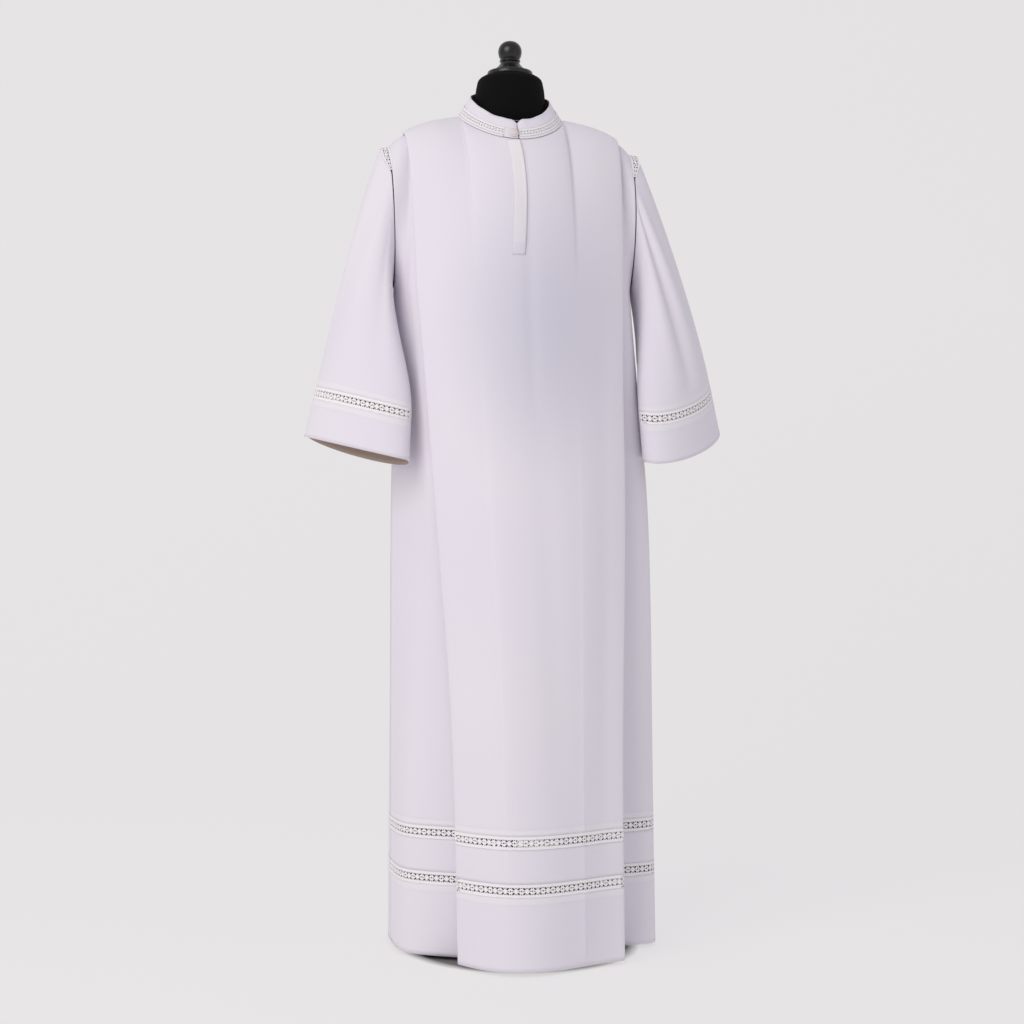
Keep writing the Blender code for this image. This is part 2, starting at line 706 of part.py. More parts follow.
def turned(name, profile, material, sides=TURNED_SIDES):
    """A closed turned piece. The profile runs from its bottom centre out, up and back to the axis."""
    points = [(0.0, 0.0, profile[0].z)]
    for turn in profile:
        for k in range(sides):
            angle = 2 * math.pi * k / sides
            points.append((turn.radius * math.cos(angle), turn.radius * math.sin(angle), turn.z))
    points.append((0.0, 0.0, profile[-1].z))
    faces = [(0, 1 + (k + 1) % sides, 1 + k) for k in range(sides)]
    for ring in range(len(profile) - 1):
        low = 1 + ring * sides
        high = low + sides
        for k in range(sides):
            follow = (k + 1) % sides
            faces.append((low + k, low + follow, high + follow, high + k))
    last = len(points) - 1
    faces += [(last, last - sides + k, last - sides + (k + 1) % sides) for k in range(sides)]
    mesh = bpy.data.meshes.new(name)
    mesh.from_pydata(points, [], faces)
    return put(name, mesh, material)


def make_button(made, cloth, thread):
    """The covered button on the collar's foot, tipped back with the collar, and its loop."""
    angle = -math.asin(-BUTTON_X / COLLAR_FOOT_X)
    place = collar_point(angle, 0.27)
    out = np.array([0.0, -0.86, 0.51])
    lift = CLOTH / 2 - SEAM_GAP
    profile = [Turn(BUTTON_RADIUS * 0.80, 0.0), Turn(BUTTON_RADIUS, 0.0012), Turn(BUTTON_RADIUS, 0.0022)]
    profile += [
        Turn(BUTTON_RADIUS * math.cos(a), 0.0022 + 0.0030 * math.sin(a)) for a in (0.5, 0.95, 1.3)
    ]
    button = turned("button", profile, cloth, sides=18)
    back = unit(np.cross(out, np.array([1.0, 0.0, 0.0])))
    turn = np.column_stack([np.array([1.0, 0.0, 0.0]), back, out])
    for vertex in button.data.vertices:
        vertex.co = place + out * lift + turn @ np.array(vertex.co)
    sweep = np.radians(np.linspace(200, 340, 9))
    radius = BUTTON_RADIUS + LOOP_RADIUS + SEAM_GAP * 2
    rise = lift + LOOP_RADIUS + 0.0016
    points = []
    for a in sweep:
        for turned_by in np.linspace(0, 2 * math.pi, LOOP_SIDES, endpoint=False):
            away = radius + LOOP_RADIUS * math.cos(turned_by)
            flat = [away * math.cos(a), away * math.sin(a), rise + LOOP_RADIUS * math.sin(turned_by)]
            points.append(tuple(place + turn @ np.array(flat)))
    faces = [tuple(range(LOOP_SIDES)), tuple(range(len(points) - LOOP_SIDES, len(points)))[::-1]]
    for start in range(0, len(points) - LOOP_SIDES, LOOP_SIDES):
        for k in range(LOOP_SIDES):
            follow = start + (k + 1) % LOOP_SIDES
            faces.append((start + k, start + k + LOOP_SIDES, follow + LOOP_SIDES, follow))
    mesh = bpy.data.meshes.new("button_loop")
    mesh.from_pydata(points, [], faces)
    if signed_volume(mesh) < 0:
        mesh.flip_normals()
    put("button_loop", mesh, thread)


def body_side(side, y, z):
    """How far out the body's side cloth reaches at this place, measured from the pole's plane."""
    word = "front" if y < smooth_at(FRONT, "seam_y", z) else "back"
    row = level_row(word, min(z, UNDERARM_Z))
    count = len(SIDE_SHARES) + 1
    edge = row[-count:] if side > 0 else row[:count]
    order = np.argsort(edge[:, 1])
    return float(np.interp(y, edge[order, 1], side * edge[order, 0]))


def clear_of_body(side, rings):
    """Moves the points of a sleeve's rings out to where they just clear the side of the robe."""
    for point in rings.reshape(-1, 3):
        if point[2] < UNDERARM_Z + 0.05:
            limit = body_side(side, point[1], point[2]) + SLEEVE_CLEAR
            point[0] = side * max(side * point[0], limit)


def cuff_ring(cuff, angles):
    """The flattened ring of the cuff's edge, and the direction up the sleeve at each of its points."""
    swing = np.array([CUFF_SWING, 0, 0])
    mirror = np.array([cuff.side, 1, 1])
    outer = np.array([*CUFF_OUTER, cuff.outer_z])
    inner = np.array([*CUFF_INNER, cuff.inner_z])
    axis = (outer - inner) / 2
    off = unit(np.array([-axis[1], axis[0], 0.0]))
    off = off if off[1] < 0 else -off
    ring = []
    up = []
    for angle in angles:
        s = math.sin(angle)
        bow = FRONT_BOW if s > 0 else BACK_BOW
        drop = cuff.front_drop if s > 0 else cuff.back_drop
        point = (outer + inner) / 2 + axis * math.cos(angle) + off * bow * s
        point[2] -= drop * abs(s)
        ring.append(point * mirror + swing)
        lean = (1 + math.cos(angle)) / 2
        up.append(unit(np.array([-0.05 - 0.19 * lean, 0.10 - 0.14 * lean, 1.0])) * mirror)
    return np.array(ring), np.array(up)


def armhole_turn(angle):
    """Where a column of the sleeve meets the armhole. The sleeve's front fold, at half a turn,
    starts ahead of the underarm."""
    half = angle / math.pi
    if half <= 1:
        return half * SLEEVE_FOLD_SHARE
    return SLEEVE_FOLD_SHARE + (half - 1) * (2 - SLEEVE_FOLD_SHARE)


def lace_width(turn):
    """The armhole insertion is full width over the shoulder and runs out to nothing lower down."""
    share = abs(turn if turn <= 1 else turn - 2)
    fade = min(1.0, max(0.0, (ARMHOLE_LACE_END - share) / ARMHOLE_LACE_TAPER))
    return ARMHOLE_LACE * fade * fade * (3 - 2 * fade)


def sleeve_angles():
    """Even steps round the cuff's edge, as angles."""
    dense = np.linspace(0, 2 * math.pi, 241)
    ring, _ = cuff_ring(CUFFS[0], dense)
    lengths = np.concatenate([[0], np.cumsum(np.linalg.norm(np.diff(ring, axis=0), axis=1))])
    return np.interp(np.linspace(0, lengths[-1], SLEEVE_COLUMNS + 1)[:-1], lengths, dense)


def armhole_ring(cuff, angles, over_lace):
    """The ring where the armhole insertion starts, or where the sleeve starts beyond it."""
    ring = []
    for angle in angles:
        turn = armhole_turn(angle)
        edge = armhole_point(cuff.side, turn)
        hub = np.array([edge[0], 0.0, 1.20])
        spread = unit(edge - hub)
        width = lace_width(turn) if over_lace else 0.0
        step = (width + ARMHOLE_GAP) * np.array([cuff.side, 0, -0.15])
        ring.append(edge + step + spread * 0.0002)
    return np.array(ring)


def make_sleeve(cuff, cloth, lace):
    """A sleeve, its lace insertion in two halves, its cuff band and its armhole insertion."""
    angles = sleeve_angles()
    edge, up = cuff_ring(cuff, angles)
    head = armhole_ring(cuff, angles, True)
    end = edge + up * (CUFF_BAND + LACE_BAND + SEAM_GAP)
    way = np.linalg.norm(end - head, axis=1, keepdims=True)
    out = np.array([cuff.side, 0, 0])
    leave = np.array([[0, 0, SLEEVE_FALL]]) + out * (0.09 + 0.04 * np.cos(angles))[:, None]
    leave[:, 1] -= 0.03 * np.sin(angles)
    arrive = -up * way
    grid = np.array([hermite(head, leave, end, arrive, share) for share in SLEEVE_ROWS])
    clear_of_body(cuff.side, grid[1:])
    hub = grid.mean(axis=1, keepdims=True)
    cloth_tube(f"sleeve_{cuff.word}", grid, hub, cloth)
    band = np.array([edge + up * CUFF_BAND, edge])
    clear_of_body(cuff.side, band)
    cloth_tube(f"cuff_{cuff.word}", band, band.mean(axis=1, keepdims=True), cloth)
    levels = (CUFF_BAND + LACE_BAND, CUFF_BAND + SEAM_GAP)
    ring = np.array([edge + up * level for level in levels])
    clear_of_body(cuff.side, ring)
    normals = tube_normals(ring, ring.mean(axis=1, keepdims=True))
    half = SLEEVE_COLUMNS // 2
    for word, first in (("front", 0), ("back", half)):
        columns = [(first + k) % SLEEVE_COLUMNS for k in range(half + 1)]
        part = ring[:, columns].copy()
        for k, inside in ((0, 1), (-1, -2)):
            step = part[:, inside] - part[:, k]
            part[:, k] += step / np.linalg.norm(step, axis=1, keepdims=True) * SEAM_GAP / 2
        cloth_wall(
            f"sleeve_lace_{cuff.word}_{word}", part, normals[:, columns], lace, LACE, cells=set(range(half))
        )
    make_armhole_lace(cuff, lace)
    return SLEEVE_COLUMNS


def tube_normals(grid, hub):
    normals = grid_normals(grid, True)
    return normals if ((grid - hub) * normals).sum() > 0 else -normals


def cloth_tube(name, grid, hub, material):
    cloth_wall(name, grid, tube_normals(grid, hub), material, round_it=True)


def make_armhole_lace(cuff, lace):
    """The narrow insertion over the shoulder, between the body's armhole edge and the sleeve."""
    reach = 0.87 * ARMHOLE_LACE_END
    turns = np.linspace(-reach, reach, 9)
    inner = []
    outer = []
    for turn in turns:
        place = turn if turn >= 0 else 2 + turn
        edge = armhole_point(cuff.side, place)
        hub = np.array([edge[0], 0.0, 1.20])
        spread = unit(edge - hub)
        step = np.array([cuff.side, 0, -0.15])
        inner.append(edge + 3 * SEAM_GAP * step + spread * 0.0002)
        outer.append(edge + (lace_width(place) + ARMHOLE_GAP - 3 * SEAM_GAP) * step + spread * 0.0002)
    grid = np.array([inner, outer])
    normals = grid_normals(grid, False)
    if normals[0, len(turns) // 2, 2] < 0:
        normals = -normals
    cloth_wall(f"armhole_lace_{cuff.word}", grid, normals, lace, LACE, cells={2, 3, 4, 5})


def make_form(jersey):
    """The padded torso and neck, one covered piece, as rings of rounded section."""
    points = []
    for level in FORM_LEVELS:
        for k in range(FORM_COLUMNS):
            angle = 2 * math.pi * k / FORM_COLUMNS
            c = math.cos(angle)
            s = math.sin(angle)
            reach = level.front if s < 0 else level.back
            points.append((level.half_width * c, reach * s, level.z))
    rings = len(FORM_LEVELS)
    faces = [tuple(range(FORM_COLUMNS))[::-1]]
    for ring in range(rings - 1):
        low = ring * FORM_COLUMNS
        for k in range(FORM_COLUMNS):
            follow = (k + 1) % FORM_COLUMNS
            faces.append((low + k, low + follow, low + follow + FORM_COLUMNS, low + k + FORM_COLUMNS))
    faces.append(tuple(range((rings - 1) * FORM_COLUMNS, rings * FORM_COLUMNS)))
    mesh = bpy.data.meshes.new("form_torso")
    mesh.from_pydata(points, [], faces)
    put("form_torso", mesh, jersey)


def make_stand(wood, steel, enamel):
    """Cap disc and turned knob above the neck, and the pole and the base plate below."""
    disc_z = NECK_TOP_Z + SEAM_GAP
    top = disc_z + DISC_HEIGHT
    turned(
        "form_cap",
        [
            Turn(DISC_RADIUS - 0.003, disc_z),
            Turn(DISC_RADIUS, disc_z + 0.003),
            Turn(DISC_RADIUS, top - 0.003),
            Turn(DISC_RADIUS - 0.002, top - 0.0008),
            Turn(DISC_RADIUS - 0.005, top),
        ],
        wood,
    )
    foot = top + SEAM_GAP
    turned(
        "form_knob",
        [
            Turn(0.0250, foot),
            Turn(0.0255, foot + 0.0025),
            Turn(0.0215, foot + 0.0060),
            Turn(0.0175, foot + 0.0100),
            Turn(0.0158, foot + 0.0140),
            Turn(0.0172, foot + 0.0165),
            Turn(0.0160, foot + 0.0190),
            Turn(0.0182, foot + 0.0235),
            Turn(0.0196, foot + 0.0300),
            Turn(0.0188, foot + 0.0370),
            Turn(0.0160, foot + 0.0430),
            Turn(0.0110, foot + 0.0475),
            Turn(0.0050, foot + 0.0498),
        ],
        wood,
    )
    turned(
        "pole",
        [
            Turn(POLE_RADIUS, BASE_HEIGHT + SEAM_GAP),
            Turn(POLE_RADIUS, FORM_LEVELS[0].z - SEAM_GAP),
        ],
        steel,
        sides=20,
    )
    base = [
        Turn(BASE_RADIUS - 0.002, 0.0),
        Turn(BASE_RADIUS, 0.002),
        Turn(BASE_RADIUS, BASE_HEIGHT - 0.003),
        Turn(BASE_RADIUS - 0.003, BASE_HEIGHT),
    ]
    turned("base", base, enamel, sides=28)


def main():
    for thing in list(bpy.data.objects):
        bpy.data.objects.remove(thing)
    cloth = material_of("alb_cloth", (0.76, 0.73, 0.80), 0.75)
    lace = material_of("alb_lace", (0.84, 0.82, 0.86), 0.85)
    thread = material_of("loop_thread", (0.82, 0.80, 0.84), 0.80)
    jersey = material_of("form_jersey", (0.012, 0.012, 0.013), 0.90)
    wood = material_of("black_turned_wood", (0.010, 0.010, 0.011), 0.30)
    steel = material_of("steel_tube", (0.55, 0.55, 0.56), 0.30, 1.0)
    enamel = material_of("base_enamel", (0.020, 0.020, 0.021), 0.45)
    made = make_body(cloth)
    gaps = make_bands(cloth, lace)
    make_collar(cloth, lace)
    make_placket(made, cloth)
    make_button(made, cloth, thread)
    for cuff in CUFFS:
        gaps += make_sleeve(cuff, cloth, lace)
    make_form(jersey)
    make_stand(wood, steel, enamel)
    print("lace gaps cut through:", gaps)


main()
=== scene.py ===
# %% [markdown]
# # An alb with lace insertions, on its dress form
# An alb is the long white robe that is worn under other vestments. This one is sewn from a plain
# cotton and polyester weave, with bands of lace let into it, and it hangs on a black dress form.
# The lesson dresses a plain CAD model: each solid wall is replaced by thin cloth on the same
# surface, with its lace, its seams and its weave.

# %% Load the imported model
import functools
import math
from collections import namedtuple

import bmesh
import bpy
import numpy as np
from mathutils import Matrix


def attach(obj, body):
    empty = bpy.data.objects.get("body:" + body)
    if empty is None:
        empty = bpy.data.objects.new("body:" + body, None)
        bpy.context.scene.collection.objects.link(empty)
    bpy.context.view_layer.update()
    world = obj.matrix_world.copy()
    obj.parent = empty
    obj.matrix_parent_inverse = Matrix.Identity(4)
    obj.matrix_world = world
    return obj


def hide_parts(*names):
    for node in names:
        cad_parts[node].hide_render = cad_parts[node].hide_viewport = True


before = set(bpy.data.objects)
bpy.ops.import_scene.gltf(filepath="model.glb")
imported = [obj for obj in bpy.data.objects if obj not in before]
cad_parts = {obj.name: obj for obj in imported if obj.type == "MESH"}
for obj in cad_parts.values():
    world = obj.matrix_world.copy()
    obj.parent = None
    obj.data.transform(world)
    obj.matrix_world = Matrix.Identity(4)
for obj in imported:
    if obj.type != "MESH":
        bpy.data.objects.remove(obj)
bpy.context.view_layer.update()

# %% [markdown]
# ## Camera
# The picture was taken level, with the lens at about half the height of the stand and 10 degrees to
# the left of its front. A long lens at 3.3 m keeps the outline nearly free of perspective.

# %% Camera
CAMERA_DISTANCE = 3.3
CAMERA_HEIGHT = 0.717
CAMERA_TURN = math.radians(-10)
scene = bpy.context.scene
camera_data = bpy.data.cameras.new("camera")
camera_data.lens = 69.6
camera_data.shift_x = 0.002
camera = bpy.data.objects.new("camera", camera_data)
camera.location = (
    CAMERA_DISTANCE * math.sin(CAMERA_TURN),
    -CAMERA_DISTANCE * math.cos(CAMERA_TURN),
    CAMERA_HEIGHT,
)
camera.rotation_euler = (math.radians(90), 0, CAMERA_TURN)
scene.collection.objects.link(camera)
scene.camera = camera

# %% [markdown]
# ## Colours and nodes
# Colours are picked as sRGB hex values, as a swatch gives them, and Blender's sockets want linear
# values, so one function turns them. Another adds a node with its settings and links, which keeps
# each material readable.

# %% Colour and node helpers


def linear(hex_colour):
    """An sRGB hex colour as linear values."""
    parts = [int(hex_colour[i : i + 2], 16) / 255 for i in (1, 3, 5)]
    return (*[p / 12.92 if p <= 0.04045 else ((p + 0.055) / 1.055) ** 2.4 for p in parts], 1.0)


def add_node(tree, kind, inputs=None, **settings):
    """Adds a node, with its settings, and sets or links each named or numbered input."""
    node = tree.nodes.new(kind)
    for name, value in settings.items():
        setattr(node, name, value)
    for name, value in (inputs or {}).items():
        if isinstance(value, bpy.types.NodeSocket):
            tree.links.new(value, node.inputs[name])
        else:
            node.inputs[name].default_value = value
    return node


def new_material(name):
    """An empty material with its principled shader, and its node tree."""
    material = bpy.data.materials.new(name)
    material.use_nodes = True
    tree = material.node_tree
    return material, tree, tree.nodes["Principled BSDF"]


# %% [markdown]
# ## The alb's cloth
# A cotton and polyester plain weave is matt, because its short fibres scatter the light, and it has
# a soft sheen at grazing angles. White cloth is never quite even: it takes a cool cast where it is
# thin and a warmer one where it is doubled over a seam. The threads lie about 0.45 mm apart, which
# is finer than a pixel of the picture, so the weave is drawn at 0.9 mm and shows only close up. A
# quarter of the light goes through such a cloth, so over the chest and waist, where the black form
# stands close behind, it looks a little greyer and bluer. That greyer, bluer tone is painted into
# the colour round the form's middle, and it is partly painted shade of the chest and waist.

# %% Cloth
THREAD_PITCH = 0.0009
FORM_CENTRE = (0.02, 0.0, 1.00)
FORM_REACH = (0.185, 0.30, 0.34)
# A greyer, bluer tone for the black form seen through the cloth, and partly painted shade.
FORM_SHOWING_THROUGH_AND_PAINTED_SHADE = "#C8C6D5"


def woven_cloth(name, colour, shade, bump):
    """A plain weave: two crossed sets of threads, read from the piece's own map in metres."""
    material, tree, shader = new_material(name)
    place = add_node(tree, "ShaderNodeUVMap", uv_map="cloth")
    weave = []
    for direction in ("X", "Y"):
        weave.append(
            add_node(
                tree,
                "ShaderNodeTexWave",
                {"Vector": place.outputs["UV"], "Scale": 0.314 / THREAD_PITCH, "Distortion": 0.35},
                bands_direction=direction,
            )
        )
    threads = add_node(
        tree, "ShaderNodeMath", {0: weave[0].outputs["Fac"], 1: weave[1].outputs["Fac"]}, operation="MAXIMUM"
    )
    where = add_node(tree, "ShaderNodeTexCoord")
    crumple = add_node(
        tree, "ShaderNodeTexNoise", {"Vector": where.outputs["Object"], "Scale": 9.0, "Detail": 3.0}
    )
    height = add_node(
        tree,
        "ShaderNodeMath",
        {0: crumple.outputs["Fac"], 1: 6.0, 2: threads.outputs["Value"]},
        operation="MULTIPLY_ADD",
    )
    raised = add_node(
        tree, "ShaderNodeBump", {"Height": height.outputs["Value"], "Strength": bump, "Distance": 0.0004}
    )
    cloud = add_node(
        tree, "ShaderNodeTexNoise", {"Vector": where.outputs["Object"], "Scale": 3.2, "Detail": 1.0}
    )
    tone = add_node(
        tree,
        "ShaderNodeMix",
        {"Factor": cloud.outputs["Fac"], "A": linear(colour), "B": linear(shade)},
        data_type="RGBA",
    )
    # Painted shade: round the form's middle the cloth's colour is mixed towards the greyer, bluer tone.
    over_form = add_node(
        tree,
        "ShaderNodeMapping",
        {"Vector": where.outputs["Object"], "Location": FORM_CENTRE, "Scale": FORM_REACH},
        vector_type="TEXTURE",
    )
    nearness = add_node(
        tree, "ShaderNodeTexGradient", {"Vector": over_form.outputs["Vector"]}, gradient_type="SPHERICAL"
    )
    spread = add_node(
        tree,
        "ShaderNodeMapRange",
        {"Value": nearness.outputs["Fac"], "From Max": 0.75, "To Max": 0.85},
        interpolation_type="SMOOTHSTEP",
    )
    shown = add_node(
        tree,
        "ShaderNodeMix",
        {"Factor": spread.outputs["Result"], "A": tone.outputs["Result"], "B": linear(FORM_SHOWING_THROUGH_AND_PAINTED_SHADE)},
        data_type="RGBA",
    )
    tree.links.new(shown.outputs["Result"], shader.inputs["Base Color"])
    tree.links.new(raised.outputs["Normal"], shader.inputs["Normal"])
    shader.inputs["Roughness"].default_value = 0.82
    shader.inputs["Sheen Weight"].default_value = 0.18
    shader.inputs["Sheen Roughness"].default_value = 0.45
    shader.inputs["Specular IOR Level"].default_value = 0.25
    return material


CLOTH = woven_cloth("cotton_polyester_plain_weave", "#EAE4EB", "#E2DDE9", 0.25)
DOUBLED = woven_cloth("cotton_polyester_doubled_at_seam", "#EDE8ED", "#E6E1EA", 0.25)
PLACKET_CLOTH = woven_cloth("cotton_polyester_doubled_at_placket", "#EFE9EB", "#EAE4EA", 0.25)
# The button's cloth is painted warmer and darker than the robe's: painted shade on the button.
BUTTON_CLOTH_WITH_PAINTED_SHADE = woven_cloth("cotton_polyester_over_a_button", "#EADFDB", "#D9CBC6", 0.45)
# The inside of the cloth is the same white; this warm, darker tone is painted shade for the hollow of the
# robe.
INSIDE_IN_PAINTED_SHADE = woven_cloth("inside_of_the_cloth_warm_with_the_light_that_came_through", "#B8A398", "#AC988E", 0.15)
print("cloth threads drawn", THREAD_PITCH * 1000, "mm apart")

# %% [markdown]
# ## Lace, thread and the form's own finishes
# Cotton lace is whiter and duller than the cloth, and its surface is rough with twisted thread. The
# form is covered in black knitted jersey, which drinks the light. Its cap and knob are turned wood
# under satin black paint, the pole is drawn steel tube, and the base is stove enamel.

# %% Lace and form materials


def grained(name, colour, other, roughness, scale, bump=0.0, distance=0.0002, **sockets):
    """A finish with one noise for its colour and its relief."""
    material, tree, shader = new_material(name)
    where = add_node(tree, "ShaderNodeTexCoord")
    stretch = add_node(
        tree,
        "ShaderNodeMapping",
        {"Vector": where.outputs["Object"], "Scale": sockets.pop("stretch", (1, 1, 1))},
    )
    noise = add_node(
        tree, "ShaderNodeTexNoise", {"Vector": stretch.outputs["Vector"], "Scale": scale, "Detail": 4.0}
    )
    tone = add_node(
        tree,
        "ShaderNodeMix",
        {"Factor": noise.outputs["Fac"], "A": linear(colour), "B": linear(other)},
        data_type="RGBA",
    )
    tree.links.new(tone.outputs["Result"], shader.inputs["Base Color"])
    if bump:
        raised = add_node(
            tree, "ShaderNodeBump", {"Height": noise.outputs["Fac"], "Strength": bump, "Distance": distance}
        )
        tree.links.new(raised.outputs["Normal"], shader.inputs["Normal"])
    shader.inputs["Roughness"].default_value = roughness
    for socket, value in sockets.items():
        shader.inputs[socket.replace("_", " ")].default_value = value
    return material


LACE = grained("cotton_lace_thread", "#F6F2F4", "#ECE7EC", 0.9, 2500, 0.5)
# Painted shade: a mid-grey sheet behind the collar lace, standing for the shade seen through its holes.
PAINTED_SHADE_BEHIND_LACE = grained("grey_net_behind_the_collar_lace", "#87828B", "#958F98", 0.9, 2500, 0.3)
THREAD = grained("white_sewing_thread", "#F2EEF0", "#DDD8DE", 0.85, 3000, 0.4)
JERSEY = grained("black_knitted_jersey", "#060606", "#0C0C0D", 0.95, 900, 0.6, Specular_IOR_Level=0.15)
WOOD = grained(
    "turned_wood_in_satin_black_paint",
    "#040404",
    "#090909",
    0.30,
    60,
    0.08,
    stretch=(1, 1, 6),
    Coat_Weight=0.1,
)
STEEL = grained("drawn_steel_tube", "#9A9B9E", "#86878A", 0.3, 400, 0.05, stretch=(1, 1, 0.02), Metallic=1.0)
ENAMEL = grained("black_stove_enamel", "#151516", "#1B1B1D", 0.4, 700, 0.05)
FINISHES = (CLOTH, DOUBLED, LACE, THREAD, JERSEY, WOOD, STEEL, ENAMEL)
print("finishes:", [material.name for material in FINISHES])

# %% [markdown]
# ## Lines and curves
# Every surface of the robe is worked out from short tables of named sizes. These helpers read a
# table smoothly at any height, run a smooth curve through a few points, and take points at even
# steps along a line.

# %% Curve helpers


def unit(vector):
    return vector / np.linalg.norm(vector)


def hermite(start, leave, end, arrive, share):
    """The point this share of the way along a curve with the given ends and end directions."""
    s2 = share * share
    s3 = s2 * share
    ends = (2 * s3 - 3 * s2 + 1) * start + (3 * s2 - 2 * s3) * end
    return ends + (s3 - 2 * s2 + share) * leave + (s3 - s2) * arrive


def smooth_at(rows, column, place, along_column="z"):
    """Reads a named column of a table at any place, on a smooth curve through its rows."""
    rows = sorted(rows, key=lambda row: getattr(row, along_column))
    places = np.array([getattr(row, along_column) for row in rows])
    values = np.array([getattr(row, column) for row in rows])
    place = min(max(place, places[0]), places[-1])
    chord = np.diff(values) / np.diff(places)
    slope = np.concatenate([chord[:1], (chord[:-1] + chord[1:]) / 2, chord[-1:]])
    slope[1:-1] = np.where(chord[:-1] * chord[1:] <= 0, 0.0, slope[1:-1])
    i = min(int(np.searchsorted(places, place, side="right")) - 1, len(chord) - 1)
    step = places[i + 1] - places[i]
    share = (place - places[i]) / step
    return hermite(values[i], slope[i] * step, values[i + 1], slope[i + 1] * step, share)


def lengths_of(line):
    return np.concatenate([[0], np.cumsum(np.linalg.norm(np.diff(line, axis=0), axis=1))])


def along(line, shares):
    """Points at the given shares of a line's length."""
    lengths = lengths_of(line)
    wanted = np.asarray(shares) * lengths[-1]
    return np.stack([np.interp(wanted, lengths, line[:, k]) for k in range(line.shape[1])], axis=1)


def spline(points, shares):
    """Points at the given shares of the length of a smooth curve through the given points."""
    points = np.asarray(points, float)
    ahead = np.vstack([2 * points[0] - points[1], points, 2 * points[-1] - points[-2]])
    dense = []
    for i in range(1, len(ahead) - 2):
        leave = (ahead[i + 1] - ahead[i - 1]) / 2
        arrive = (ahead[i + 2] - ahead[i]) / 2
        for share in np.linspace(0, 1, 12, endpoint=False):
            dense.append(hermite(ahead[i], leave, ahead[i + 1], arrive, share))
    return along(np.vstack([dense, points[-1]]), shares)


# %% [markdown]
# ## The robe's sections
# Below the underarm the robe is described by level sections, front and back. Each has a panel that
# stands proud between two deep pleats, the tuck that is folded behind each pleat, and the side cloth
# that goes round to the side seam. The same values make the CAD model, so the cloth lies on it.

# %% Tables of the robe
SEAM_GAP = 0.0003
HEM_Z = 0.006
HEM_BAND = 0.115
LACE_BAND = 0.018
PLAIN_BAND = 0.055
UNDERARM_Z = 1.085
LOWER_LACE_Z = HEM_Z + HEM_BAND
PLAIN_BAND_Z = LOWER_LACE_Z + LACE_BAND
UPPER_LACE_Z = PLAIN_BAND_Z + PLAIN_BAND
BODY_END_Z = UPPER_LACE_Z + LACE_BAND
NECK_X = 0.0865
SHOULDER_X = 0.203
PLEAT_X = 0.178
TUCK_X = 0.1246
SHOULDER_FOLD = 0.00175
HEM_FOLD = 0.0050
Shoulder = namedtuple("Shoulder", "x z")
SHOULDER_SEAM = (
    Shoulder(0.0865, 1.3730),
    Shoulder(0.140, 1.3620),
    Shoulder(0.178, 1.3450),
    Shoulder(0.190, 1.3350),
    Shoulder(0.203, 1.3180),
)
Section = namedtuple(
    "Section",
    "z centre fold_x fold_reach_l fold_reach_r bulge skew tuck_x tuck_reach"
    " near_reach_l near_reach_r hip_x_l hip_x_r hip_reach seam_x seam_y",
)
FRONT = (
    Section(1.085, .004, .170, .080, .080, .060, 0.0, .119, .102, .070, .070, .185, .188, .045, .199, .000),
    Section(0.930, .008, .162, .095, .096, .056, 0.1, .108, .114, .080, .079, .176, .196, .050, .203, .003),
    Section(0.730, .014, .154, .113, .118, .055, 0.2, .098, .122, .090, .086, .178, .206, .055, .212, .010),
    Section(0.360, .018, .136, .150, .160, .060, 0.5, .088, .130, .110, .094, .196, .207, .064, .216, .020),
    Section(0.000, .018, .130, .173, .193, .064, 0.7, .085, .135, .120, .090, .202, .212, .068, .215, .030),
)
BACK = (
    Section(1.085, .004, .160, .088, .088, .036, 0.0, .112, .098, .076, .076, .188, .188, .050, .199, .000),
    Section(0.930, .008, .155, .100, .100, .045, 0.0, .104, .108, .086, .086, .190, .190, .060, .203, .003),
    Section(0.730, .014, .150, .112, .112, .052, 0.0, .096, .113, .094, .094, .196, .196, .070, .212, .010),
    Section(0.360, .018, .142, .132, .132, .058, 0.0, .092, .115, .100, .100, .203, .203, .086, .216, .020),
    Section(0.000, .018, .138, .150, .150, .060, 0.0, .090, .118, .104, .104, .205, .209, .098, .215, .030),
)
FACES = {"front": (-1.0, FRONT), "back": (1.0, BACK)}
Start = namedtuple("Start", "x out drop")
STARTS = (
    Start(0.0000, 1.50, 0.75),
    Start(0.0865, 2.00, 0.36),
    Start(0.1246, 2.10, 0.15),
    Start(0.1780, 2.30, 0.06),
)
ARRIVE_OUT = 0.25
ARRIVE_DROP = 1.35
ARMHOLE_HALF_WIDTH = 0.050

# %% [markdown]
# A pleat's edge is a small half circle of cloth, so each fold is drawn as an arc. The panel gets
# 28 columns of cloth on each side of its middle, closest where the neckline meets the shoulder
# seam, and the side cloth 22, which is close enough for the light to run smoothly over them.

# %% A level section
PANEL_SHARES = np.concatenate(
    [np.linspace(0, 0.44, 12), [0.458, 0.472, 0.482, NECK_X / PLEAT_X - 1e-6], np.linspace(0.52, 1, 13)]
)
SIDE_SHARES = np.linspace(0, 1, 23)[1:]
TUCK_SHARES = np.linspace(0, 1, 8)[1:]
ARC_STEPS = 6
PANEL_END = len(PANEL_SHARES) - 1
SIDE_START = PANEL_END + ARC_STEPS + len(TUCK_SHARES) + ARC_STEPS


def arc(point, travel, inward, radius):
    """Points that turn the cloth back under itself, travelling in the given direction."""
    turns = np.linspace(0, math.pi, ARC_STEPS + 1)[1:]
    return [point + radius * (inward * (1 - math.cos(a)) + travel * math.sin(a)) for a in turns]


def inward_of(travel, face):
    square = np.array([-travel[1], travel[0]])
    return square if square[1] * -face > 0 else -square


